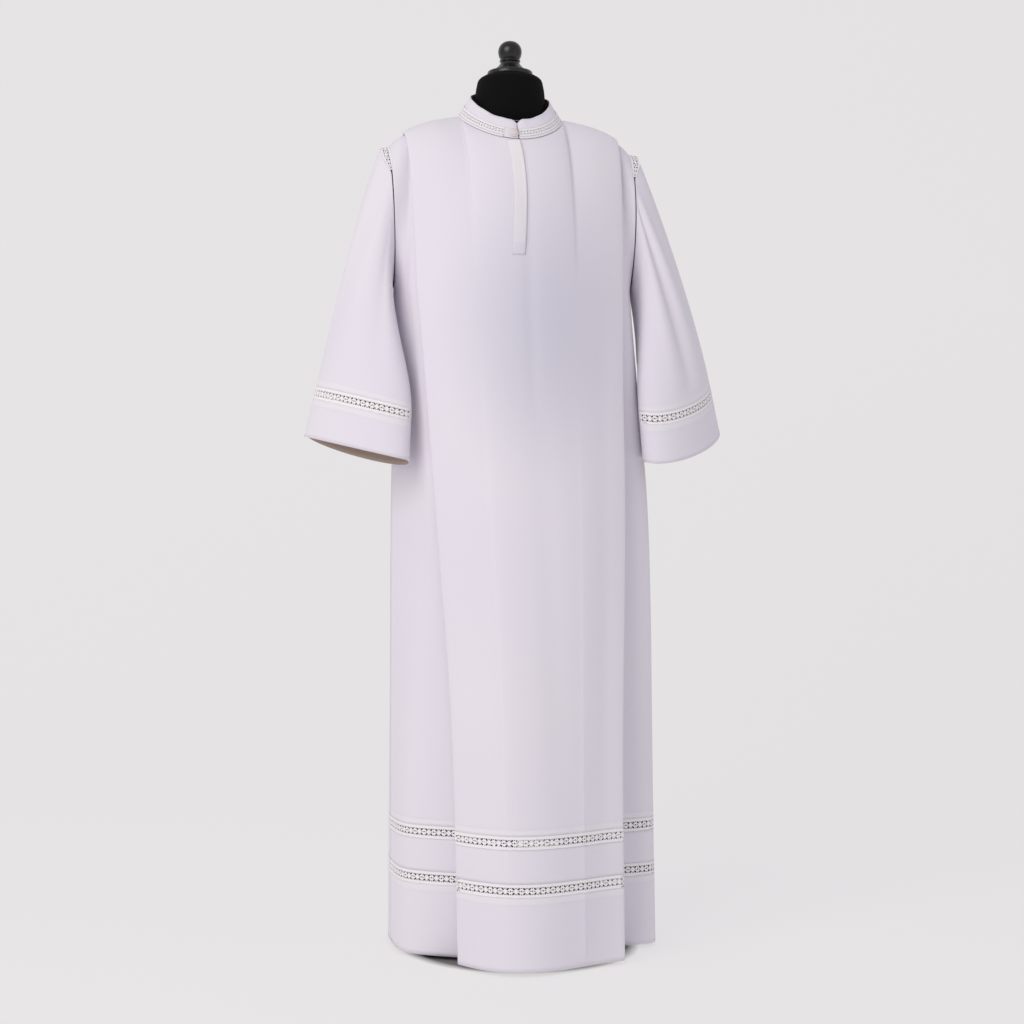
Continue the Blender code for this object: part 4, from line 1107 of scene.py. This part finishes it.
def crease_depth(word, angles, share):
    depth = np.zeros(len(angles))
    for crease in CREASES:
        if crease.word == word and crease.low < share < crease.high:
            place = (share - crease.low) / (crease.high - crease.low)
            strength = math.sin(math.pi * place) ** 0.7
            depth += crease.depth * strength * np.exp(-(((angles - crease.angle) / crease.width) ** 2))
    return depth


sleeves = {}
for cuff in CUFFS:
    angles = even_angles()
    edge, up = cuff_ring(cuff, angles)
    head = []
    for angle in angles:
        turn = armhole_turn(angle)
        start = armhole_point(cuff.side, turn)
        spread = unit(start - np.array([start[0], 0.0, 1.20]))
        step = (lace_width(turn) + ARMHOLE_GAP) * np.array([cuff.side, 0, -0.15])
        head.append(start + step + spread * 0.0002)
    head = np.array(head)
    end = edge + up * (CUFF_BAND + LACE_BAND + SEAM_GAP)
    way = np.linalg.norm(end - head, axis=1, keepdims=True)
    outwards = np.array([cuff.side, 0, 0]) * (0.09 + 0.04 * np.cos(angles))[:, None]
    leave = np.array([[0, 0, SLEEVE_FALL]]) + outwards
    leave[:, 1] -= 0.03 * np.sin(angles)
    shares = np.linspace(0, 1, 64)
    grid = np.array([hermite(head, leave, end, -up * way, share) for share in shares])
    clear_of_body(cuff.side, grid[1:])
    normals = outward_normals(grid, grid.mean(axis=1, keepdims=True), closed=True)
    depth = np.array([crease_depth(cuff.word, angles, share) for share in shares])
    grid = grid + normals * depth[:, :, None]
    name = f"sleeve_{cuff.word}"
    finishes = [CLOTH, DOUBLED]
    seam_rows = (len(grid) - 3, len(grid) - 2)
    piece = sheet_object(name + "_cloth", grid, normals, finishes, closed=True, doubled=seam_rows)
    round_cuff = lengths_of(edge)[-1]
    area = area_of(grid, closed=True)
    flat = (round_cuff, area / round_cuff)
    declare(piece, "alb_cloth", [name], flat, area=area, rests_on=["front", "back"])
    levels = [CUFF_BAND, CUFF_BAND - ALLOWANCE / 2, *np.linspace(CUFF_BAND - ALLOWANCE, 0, 9)]
    band = np.array([edge + up * level for level in levels])
    clear_of_body(cuff.side, band)
    normals = outward_normals(band, band.mean(axis=1, keepdims=True), closed=True)
    name = f"cuff_{cuff.word}"
    piece = sheet_object(
        name + "_cloth", band, normals, finishes, closed=True, doubled=(0, 1), thickness=0.0009
    )
    declare(piece, "alb_cloth", [name], (round_cuff, CUFF_BAND), rests_on=[f"sleeve_{cuff.word}"])
    levels = np.linspace(CUFF_BAND + LACE_BAND + OVERLAP, CUFF_BAND - OVERLAP, 5)
    ring = np.array([edge + up * level for level in levels])
    clear_of_body(cuff.side, ring)
    normals = outward_normals(ring, ring.mean(axis=1, keepdims=True), closed=True)
    piece, length = lace_on(f"sleeve_lace_{cuff.word}_strip", ring, normals, closed=True)
    nodes = [f"sleeve_lace_{cuff.word}_front", f"sleeve_lace_{cuff.word}_back"]
    declare(piece, "alb_lace", nodes, (length, LACE_WIDTH), rests_on=[f"sleeve_{cuff.word}"])
    sleeves[cuff.word] = (edge, up, angles)

# %% [markdown]
# A narrower piece of the same lace joins the sleeve's head to the shoulder, and tapers away down
# the armhole.

# %% Armhole laces
for cuff in CUFFS:
    turns = np.linspace(-0.87 * ARMHOLE_LACE_END, 0.87 * ARMHOLE_LACE_END, 41)
    inner = []
    outer = []
    for turn in turns:
        place = turn if turn >= 0 else 2 + turn
        start = armhole_point(cuff.side, place)
        spread = unit(start - np.array([start[0], 0.0, 1.20]))
        step = np.array([cuff.side, 0, -0.15])
        inner.append(start + spread * 0.0004 - step * 0.0008)
        outer.append(start + (lace_width(place) + ARMHOLE_GAP + 0.0008) * step + spread * 0.0004)
    shares = np.linspace(0, 1, 5)[:, None, None]
    grid = np.array(inner)[None] * (1 - shares) + np.array(outer)[None] * shares
    normals = grid_normals(grid)
    normals = normals if normals[0, 20, 2] > 0 else -normals
    name = f"armhole_lace_{cuff.word}"
    piece, length = lace_on(name + "_strip", grid, normals)
    declare(piece, "alb_lace", [name], (length, 0.015), area=area_of(grid))

# %% [markdown]
# ## Collar
# The stand collar is two layers of cloth, about 32 mm high, which flares towards its foot. It dips
# to a small V at the front, where it opens. Its lace lies on a grey sheet, which is painted shade
# for the shadow seen through the lace's holes, and a narrow edging runs along the foot.

# %% Make the collar
NOTCH_HALF_WIDTH = 0.009
NOTCH_DEPTH = 0.007
COLLAR_GAP = 0.0010
LACE_ENDS = (0.0015, 0.0190)


def collar_grid(low, high, rows, ends, lift=0.0, columns=180, notched=False):
    """A stretch of the collar's surface between two shares of its height, moved out by lift."""
    start = math.asin(ends[0] / COLLAR_TOP_X)
    end = 2 * math.pi - math.asin(ends[1] / COLLAR_TOP_X)
    angles = np.linspace(start, end, columns)
    shares = np.linspace(high, low, rows)
    grid = np.array([[collar_point(angle, share) for angle in angles] for share in shares])
    if notched:
        off = np.where(np.cos(angles) > 0, COLLAR_TOP_X * np.abs(np.sin(angles)), 1.0)
        dip = np.clip(1 - off / NOTCH_HALF_WIDTH, 0, None) ** 1.5 * NOTCH_DEPTH
        grid[:, :, 2] -= shares[:, None] * dip
    normals = outward_normals(grid, np.array([0, 0, 0]) + grid * np.array([0, 0, 1]))
    return grid + normals * lift, normals


grid, normals = collar_grid(0.0, 1.0, 14, (COLLAR_GAP / 2, COLLAR_GAP / 2), notched=True)
round_it = np.linspace(0, 2 * math.pi, grid.shape[1])
ripple = 0.0007 * np.sin(round_it * 9 + 0.6) * np.sin(round_it * 4 + 1.0)
up_it = np.linspace(1, 0, len(grid))[:, None, None] ** 2
grid = grid + (normals + np.array([0, 0, 0.6])) * ripple[:, None] * up_it
collar = sheet_object("collar_cloth", grid, normals, [CLOTH], thickness=0.0012)
collar_round = lengths_of(grid[0])[-1]
collar_foot = lengths_of(grid[-1])[-1]
grid, normals = collar_grid(-0.035, 0.075, 4, LACE_ENDS, 0.0012)
edging = sheet_object("collar_edging_strip", grid, normals, [DOUBLED], thickness=0.0008)
carried(edging, "alb_cloth", "collar_edging")
declare(collar, "alb_cloth", ["collar"], (collar_foot, 0.036), with_pieces=[edging])
grid, normals = collar_grid(0.10, 0.46, 5, LACE_ENDS, 0.0013)
piece, length = lace_on("collar_lace_strip", grid, normals, lift=0.0, size=0.65)
declare(piece, "alb_lace", ["collar_lace"], (length, 0.0125), rests_on=["collar"])
# A grey sheet under the collar lace: painted shade seen through its holes.
grid, normals = collar_grid(0.115, 0.445, 5, LACE_ENDS, 0.0008)
painted_shade_sheet = sheet_object("collar_lace_lining", grid, normals, [PAINTED_SHADE_BEHIND_LACE], thickness=0.0002)
declare(painted_shade_sheet, "alb_lace", [], (length, 0.0115), rests_on=["collar"])
print("collar is", round(collar_round, 3), "m round its top edge")

# %% [markdown]
# ## Placket, button and loop
# A fly strip of doubled cloth closes the opening down the chest. A covered button sits on the
# collar's foot, and a thread loop holds it.

# %% Make the placket
PLACKET_LEFT = -0.0200
PLACKET_RIGHT = 0.0010
PLACKET_END_Z = 1.128


def front_place(x, z):
    """A point of the front's middle panel at a place across and a height, with its normal."""
    grid, normals = robe["front"]
    middle = grid.shape[1] // 2
    found = []
    for column in range(middle - 6, middle + 7):
        order = np.argsort(grid[:, column, 2])
        both = np.concatenate([grid[order, column], normals[order, column]], axis=1)
        found.append([np.interp(z, both[:, 2], both[:, k]) for k in range(6)])
    found = np.array(found)
    order = np.argsort(found[:, 0])
    place = np.array([np.interp(x, found[order, 0], found[order, k]) for k in range(6)])
    return place[:3], unit(place[3:])


top_z = robe["front"][0][0, robe["front"][0].shape[1] // 2, 2] - 0.0012
PLACKET_BOW = 0.006


def placket_place(across, share):
    """A point of the fly strip and its normal: across 0 at its left edge, share 0 at its top end.
    Its left edge and its foot lie flat on the front, and its right edge stands a little proud."""
    z = top_z + (PLACKET_END_Z - top_z) * share
    x = PLACKET_LEFT + (PLACKET_RIGHT - PLACKET_LEFT) * across
    x += PLACKET_BOW * math.sin(math.pi * share**0.75)
    point, normal = front_place(x, z)
    proud = 0.0006 + 0.0012 * across * min(1.0, (1 - share) / 0.12)
    return point + normal * proud, normal


rows = []
for share in np.linspace(0, 1, 48):
    rows.append([np.concatenate(placket_place(across, share)) for across in np.linspace(0, 1, 9)])
rows = np.array(rows)
grid = rows[:, :, :3]
normals = rows[:, :, 3:]
# The last rows take the plain cloth's finish, so the strip's foot hardly shows.
piece = sheet_object(
    "placket_strip", grid, normals, [PLACKET_CLOTH, CLOTH], doubled=range(42, 47), thickness=0.0007
)
flat = (0.021, lengths_of(grid[:, 4])[-1])
declare(piece, "alb_cloth", ["placket"], flat, held="laid", rests_on=["front_cloth"])

# %% [markdown]
# Turned and covered pieces share one helper: a profile from the bottom centre out, up and back to
# the axis, swept round. Smooth profiles are drawn through a few named sizes.

# %% Turned pieces


def turned(name, profile, finish, sides=64, place=None):
    """A closed turned piece, at the axis or moved by a matrix and a point."""
    profile = np.asarray(profile)
    angles = np.linspace(0, 2 * math.pi, sides, endpoint=False)
    ring = np.column_stack([np.cos(angles), np.sin(angles)])
    points = [(0.0, 0.0, profile[0, 1])]
    for radius, z in profile:
        points += [(radius * c, radius * s, z) for c, s in ring]
    points.append((0.0, 0.0, profile[-1, 1]))
    faces = [(0, 1 + (k + 1) % sides, 1 + k) for k in range(sides)]
    for low in range(1, 1 + (len(profile) - 1) * sides, sides):
        for k in range(sides):
            follow = (k + 1) % sides
            faces.append((low + k, low + follow, low + follow + sides, low + k + sides))
    last = len(points) - 1
    faces += [(last, last - sides + k, last - sides + (k + 1) % sides) for k in range(sides)]
    points = np.array(points)
    if place:
        points = points @ place[0].T + place[1]
    mesh = bpy.data.meshes.new(name)
    mesh.from_pydata(points.tolist(), [], faces)
    layer = mesh.uv_layers.new(name="cloth")
    flat = np.array([points[loop.vertex_index][[0, 2]] for loop in mesh.loops])
    layer.data.foreach_set("uv", flat.ravel())
    mesh.materials.append(finish)
    mesh.shade_smooth()
    mesh.set_sharp_from_angle(angle=math.radians(35))
    thing = bpy.data.objects.new(name, mesh)
    scene.collection.objects.link(thing)
    return thing


# %% Button and loop
BUTTON_RADIUS = 0.0072
BUTTON_X = -0.0085
LOOP_RADIUS = 0.0007
angle = -math.asin(-BUTTON_X / COLLAR_FOOT_X)
out = np.array([0.0, -0.86, 0.51])
side_way = np.array([1.0, 0.0, 0.0])
button_turn = np.column_stack([side_way, unit(np.cross(out, side_way)), out])
button_place = collar_point(angle, 0.27) + out * 0.0009
dome = [(BUTTON_RADIUS * 0.80, 0.0), (BUTTON_RADIUS * 0.97, 0.0006), (BUTTON_RADIUS, 0.0016)]
dome += [(BUTTON_RADIUS * math.cos(a), 0.0020 + 0.0032 * math.sin(a)) for a in np.linspace(0.1, 1.5, 12)]
# The covered button takes the cloth with painted shade.
button = turned("covered_button", dome, BUTTON_CLOTH_WITH_PAINTED_SHADE, 48, (button_turn, button_place))
carried(button, "alb_cloth", "button")


def cord_mesh(name, centres, radius, finish, sides=10):
    """A closed round cord along a line of points."""
    centres = np.asarray(centres)
    ways = np.gradient(centres, axis=0)
    ways /= np.linalg.norm(ways, axis=1, keepdims=True)
    points = []
    for centre, way in zip(centres, ways):
        a = unit(np.cross(way, out))
        b = np.cross(way, a)
        for turn in np.linspace(0, 2 * math.pi, sides, endpoint=False):
            points.append(centre + radius * (a * math.cos(turn) + b * math.sin(turn)))
    faces = [tuple(range(sides))[::-1], tuple(range(len(points) - sides, len(points)))]
    for low in range(0, len(points) - sides, sides):
        for k in range(sides):
            follow = low + (k + 1) % sides
            faces.append((low + k, follow, follow + sides, low + k + sides))
    mesh = bpy.data.meshes.new(name)
    mesh.from_pydata([tuple(point) for point in points], [], faces)
    shape = bmesh.new()
    shape.from_mesh(mesh)
    bmesh.ops.recalc_face_normals(shape, faces=shape.faces)
    shape.to_mesh(mesh)
    shape.free()
    mesh.materials.append(finish)
    mesh.shade_smooth()
    thing = bpy.data.objects.new(name, mesh)
    scene.collection.objects.link(thing)
    return thing


sweep = np.radians(np.linspace(196, 344, 30))
reach = BUTTON_RADIUS + LOOP_RADIUS + 0.0004
flat = np.column_stack([reach * np.cos(sweep), reach * np.sin(sweep), np.full(len(sweep), 0.0022)])
loop = cord_mesh("thread_loop", button_place + flat @ button_turn.T, LOOP_RADIUS, THREAD)
carried(loop, "loop_thread", "button_loop")

# %% [markdown]
# ## Stitches
# Every seam has its row of machine stitches, 2.8 mm long with small gaps. Geometry Nodes take the
# seam lines as a curve, set points along it at that pitch, turn a small thread to lie along the
# line at each, and make the copies real.

# %% Geometry Nodes that sew
stitch_tree, stitch_in, stitch_out = new_tree(
    "machine_stitches",
    [
        ("Geometry", "NodeSocketGeometry"),
        ("Pitch", "NodeSocketFloat"),
        ("Length", "NodeSocketFloat"),
        ("Radius", "NodeSocketFloat"),
        ("Material", "NodeSocketMaterial"),
    ],
)
places = add_node(
    stitch_tree,
    "GeometryNodeCurveToPoints",
    {"Curve": stitch_in.outputs["Geometry"], "Length": stitch_in.outputs["Pitch"]},
    mode="LENGTH",
)
one = add_node(
    stitch_tree,
    "GeometryNodeMeshCylinder",
    {"Vertices": 5, "Radius": stitch_in.outputs["Radius"], "Depth": stitch_in.outputs["Length"]},
    fill_type="TRIANGLE_FAN",
)
way = add_node(
    stitch_tree, "FunctionNodeAlignRotationToVector", {"Vector": places.outputs["Tangent"]}, axis="Z"
)
sewn = add_node(
    stitch_tree,
    "GeometryNodeInstanceOnPoints",
    {
        "Points": places.outputs["Points"],
        "Instance": one.outputs["Mesh"],
        "Rotation": way.outputs["Rotation"],
    },
)
real = add_node(stitch_tree, "GeometryNodeRealizeInstances", {"Geometry": sewn.outputs["Instances"]})
dressed = add_node(
    stitch_tree,
    "GeometryNodeSetMaterial",
    {"Geometry": real.outputs["Geometry"], "Material": stitch_in.outputs["Material"]},
)
stitch_tree.links.new(dressed.outputs["Geometry"], stitch_out.inputs["Geometry"])


def sew(name, lines):
    """Rows of stitches along the given lines of points, as one plain mesh."""
    curve = bpy.data.curves.new(name + "_lines", "CURVE")
    curve.dimensions = "3D"
    for line in lines:
        part = curve.splines.new("POLY")
        part.points.add(len(line) - 1)
        part.points.foreach_set("co", np.column_stack([line, np.ones(len(line))]).ravel())
    guide = bpy.data.objects.new(name + "_lines", curve)
    scene.collection.objects.link(guide)
    modifier = guide.modifiers.new("stitches", "NODES")
    modifier.node_group = stitch_tree
    set_inputs(modifier, {"Pitch": 0.0032, "Length": 0.0026, "Radius": 0.00018, "Material": THREAD})
    graph = bpy.context.evaluated_depsgraph_get()
    mesh = bpy.data.meshes.new_from_object(guide.evaluated_get(graph))
    bpy.data.objects.remove(guide)
    mesh.name = name
    thing = bpy.data.objects.new(name, mesh)
    scene.collection.objects.link(thing)
    carried(thing, "loop_thread")
    print(name, "has", len(mesh.polygons) // 7, "stitches or so")
    return thing


# %% Sew the seams
for word in FACES:
    lines = []
    for z in (
        BODY_END_Z + ALLOWANCE,
        BODY_END_Z + 0.0016,
        UPPER_LACE_Z - 0.0016,
        PLAIN_BAND_Z + 0.0016,
        LOWER_LACE_Z - 0.0016,
        LOWER_LACE_Z - ALLOWANCE,
        HEM_Z + 0.004,
    ):
        grid, normals = robe_rows(word, [z + 0.001, z, z - 0.001])
        lines.append((grid + normals * 0.0007)[1])
    sew(f"seam_stitches_{word}", lines)
lines = []
for cuff in CUFFS:
    edge, up, angles = sleeves[cuff.word]
    for level in (CUFF_BAND + LACE_BAND + ALLOWANCE, CUFF_BAND - ALLOWANCE, 0.004):
        ring = np.array([edge + up * (level + 0.001), edge + up * level, edge + up * (level - 0.001)])
        clear_of_body(cuff.side, ring)
        normals = outward_normals(ring, ring.mean(axis=1, keepdims=True), closed=True)
        if level < CUFF_BAND:
            line = (ring + normals * 0.0007)[1]
            lines.append(np.vstack([line, line[:1]]))
sew("cuff_stitches", lines)
lines = []
for share in (0.94, 0.50):
    grid, normals = collar_grid(share - 0.01, share + 0.01, 3, (COLLAR_GAP, COLLAR_GAP))
    lines.append((grid + normals * 0.0009)[1])
for across, lift in ((0.94, 0.0005), (1.16, -0.0010)):
    line = [placket_place(across, share) for share in np.linspace(0.03, 0.97, 40)]
    lines.append(np.array([point + normal * lift for point, normal in line]))
sew("neck_stitches", lines)

# %% [markdown]
# ## The dress form
# The torso and neck are padded and covered in one piece of black jersey. Only its neck shows, under
# a turned cap disc and a knob. Below, a steel pole stands in a round enamelled base.

# %% Make the form
Level = namedtuple("Level", "z half_width front back")
FORM_LEVELS = (
    Level(0.620, 0.120, 0.070, 0.075),
    Level(0.632, 0.142, 0.088, 0.094),
    Level(0.720, 0.164, 0.098, 0.108),
    Level(0.840, 0.160, 0.092, 0.094),
    Level(0.940, 0.150, 0.086, 0.080),
    Level(1.050, 0.160, 0.094, 0.086),
    Level(1.140, 0.166, 0.096, 0.084),
    Level(1.210, 0.162, 0.084, 0.074),
    Level(1.265, 0.156, 0.068, 0.062),
    Level(1.300, 0.150, 0.060, 0.054),
    Level(1.325, 0.138, 0.054, 0.048),
    Level(1.345, 0.116, 0.050, 0.046),
    Level(1.360, 0.084, 0.052, 0.050),
    Level(1.378, 0.0600, 0.055, 0.0560),
    Level(1.407, 0.0580, 0.0575, 0.0605),
    Level(1.425, 0.0555, 0.0555, 0.0625),
    Level(1.437, 0.0510, 0.0510, 0.0540),
    Level(1.4415, 0.0440, 0.0440, 0.0450),
)
heights = [*np.linspace(0.620, 0.640, 6), *np.linspace(0.66, 1.28, 32), *np.linspace(1.29, 1.4415, 48)]
turns = np.linspace(0, 2 * math.pi, 96, endpoint=False)
points = []
for z in heights:
    wide, ahead, behind = (smooth_at(FORM_LEVELS, name, z) for name in ("half_width", "front", "back"))
    reach = np.where(np.sin(turns) < 0, ahead, behind)
    points.append(np.column_stack([wide * np.cos(turns), reach * np.sin(turns), np.full(96, z)]))
points = np.array(points)
faces = [tuple(range(96))[::-1]]
for low in range(0, (len(heights) - 1) * 96, 96):
    faces += [(low + k, low + (k + 1) % 96, low + (k + 1) % 96 + 96, low + k + 96) for k in range(96)]
faces.append(tuple(range((len(heights) - 1) * 96, len(heights) * 96)))
mesh = bpy.data.meshes.new("form_torso_cover")
mesh.from_pydata(points.reshape(-1, 3).tolist(), [], faces)
mesh.materials.append(JERSEY)
mesh.shade_smooth()
mesh.set_sharp_from_angle(angle=math.radians(50))
torso = bpy.data.objects.new("form_torso_cover", mesh)
scene.collection.objects.link(torso)
carried(torso, "form_jersey", "form_torso")

# %% Cap, knob, pole and base
NECK_TOP_Z = 1.4415
DISC_RADIUS = 0.0378
DISC_HEIGHT = 0.0095
FOOT_ROUND = 0.003
TOP_ROUND = 0.004
disc_z = NECK_TOP_Z + SEAM_GAP
disc_top = disc_z + DISC_HEIGHT
edge_round = []
for a in np.linspace(0, 1.5, 5):
    out_by = DISC_RADIUS - FOOT_ROUND + FOOT_ROUND * math.sin(a)
    edge_round.append((out_by, disc_z + FOOT_ROUND - FOOT_ROUND * math.cos(a)))
for a in np.linspace(0, 1.5, 6):
    out_by = DISC_RADIUS - TOP_ROUND + TOP_ROUND * math.cos(a)
    edge_round.append((out_by, disc_top - TOP_ROUND + TOP_ROUND * math.sin(a)))
carried(turned("cap_disc", edge_round, WOOD, 96), "black_turned_wood", "form_cap")
foot = disc_top + SEAM_GAP
KNOB = (
    (0.0250, 0.0000),
    (0.0257, 0.0012),
    (0.0250, 0.0030),
    (0.0215, 0.0060),
    (0.0178, 0.0100),
    (0.0160, 0.0134),
    (0.0160, 0.0146),
    (0.0172, 0.0156),
    (0.0174, 0.0168),
    (0.0166, 0.0182),
    (0.0158, 0.0192),
    (0.0172, 0.0215),
    (0.0186, 0.0250),
    (0.0196, 0.0300),
    (0.0195, 0.0345),
    (0.0183, 0.0390),
    (0.0160, 0.0430),
    (0.0122, 0.0467),
    (0.0075, 0.0490),
    (0.0025, 0.0498),
)
knob = spline(np.array(KNOB), np.linspace(0, 1, 70)) + np.array([0, foot])
carried(turned("turned_knob", knob, WOOD, 80), "black_turned_wood", "form_knob")
BASE_HEIGHT = 0.014
pole = [(0.0125, BASE_HEIGHT + SEAM_GAP), (0.0125, FORM_LEVELS[0].z - SEAM_GAP)]
carried(turned("steel_pole", pole, STEEL, 48), "steel_tube", "pole")
base = [(0.1285, 0.0), (0.1300, 0.0012), (0.1300, 0.0100)]
base += [(0.126 + 0.004 * math.cos(a), 0.010 + 0.004 * math.sin(a)) for a in np.linspace(0.2, 1.5, 6)]
carried(turned("enamelled_base", base, ENAMEL, 128), "base_enamel", "base")

# %% [markdown]
# ## Studio
# The robe stands on a pale sweep of paper that runs up behind it, in soft light from the upper left
# and a weak fill from the right. The paper glows a little of itself, which keeps it even and lets
# only a faint shadow fall on it. Under the robe its glow is turned off, so the floor there is
# darker: painted shadow beneath the hem.

# %% Paper sweep, lights and world
SWEEP_RADIUS = 1.5
WALL_Y = 3.5
profile = [(-7.0, 0.0), (WALL_Y - SWEEP_RADIUS, 0.0)]
profile += [
    (WALL_Y - SWEEP_RADIUS + SWEEP_RADIUS * math.sin(a), SWEEP_RADIUS - SWEEP_RADIUS * math.cos(a))
    for a in np.linspace(0.1, math.pi / 2, 14)
]
profile.append((WALL_Y, 6.0))
sweep_points = [(x, y, z) for y, z in profile for x in (-8.0, 8.0)]
sweep_faces = [(2 * k, 2 * k + 1, 2 * k + 3, 2 * k + 2) for k in range(len(profile) - 1)]
mesh = bpy.data.meshes.new("paper_sweep")
mesh.from_pydata(sweep_points, [], sweep_faces)
mesh.shade_smooth()
paper, tree, shader = new_material("pale_paper")
shader.inputs["Base Color"].default_value = (0.20, 0.197, 0.199, 1)
shader.inputs["Roughness"].default_value = 1.0
shader.inputs["Specular IOR Level"].default_value = 0.0
shader.inputs["Emission Color"].default_value = linear("#E6E4E5")
# Painted shadow: the glow fades to nothing inside an oval under the robe, so the floor darkens there.
where = add_node(tree, "ShaderNodeTexCoord")
under_robe = add_node(
    tree,
    "ShaderNodeMapping",
    {"Vector": where.outputs["Object"], "Location": (0.012, -0.02, 0.0), "Scale": (0.30, 0.32, 1.0)},
    vector_type="TEXTURE",
)
covered = add_node(
    tree, "ShaderNodeTexGradient", {"Vector": under_robe.outputs["Vector"]}, gradient_type="SPHERICAL"
)
glow = add_node(
    tree,
    "ShaderNodeMapRange",
    {"Value": covered.outputs["Fac"], "From Min": 0.34, "From Max": 0.42, "To Min": 0.80, "To Max": 0.0},
)
tree.links.new(glow.outputs["Result"], shader.inputs["Emission Strength"])
mesh.materials.append(paper)
sweep_thing = bpy.data.objects.new("paper_sweep", mesh)
scene.collection.objects.link(sweep_thing)

world = bpy.data.worlds.new("studio")
world.use_nodes = True
world.node_tree.nodes["Background"].inputs["Color"].default_value = (0.93, 0.93, 0.97, 1)
world.node_tree.nodes["Background"].inputs["Strength"].default_value = 0.60
scene.world = world
Lamp = namedtuple("Lamp", "name place size power colour")
LAMPS = (
    Lamp("key", (-2.6, -2.8, 2.9), 2.8, 80, "#FFFBF6"),
    Lamp("fill", (3.0, -2.8, 1.4), 2.5, 4, "#F2F4FF"),
)
for lamp in LAMPS:
    light = bpy.data.lights.new(lamp.name, "AREA")
    light.size = lamp.size
    light.energy = lamp.power
    light.color = linear(lamp.colour)[:3]
    thing = bpy.data.objects.new(lamp.name, light)
    thing.location = lamp.place
    aim = np.array([0.0, 0.0, 0.75]) - np.array(lamp.place)
    tilt = math.pi / 2 + math.atan2(aim[2], math.hypot(aim[0], aim[1]))
    thing.rotation_euler = (tilt, 0, math.atan2(aim[1], aim[0]) - math.pi / 2)
    scene.collection.objects.link(thing)
scene.view_settings.view_transform = "Standard"
scene.view_settings.look = "None"

# %% [markdown]
# ## Finish
# The helper object goes.

# %% Finish
bpy.data.objects.remove(motif)
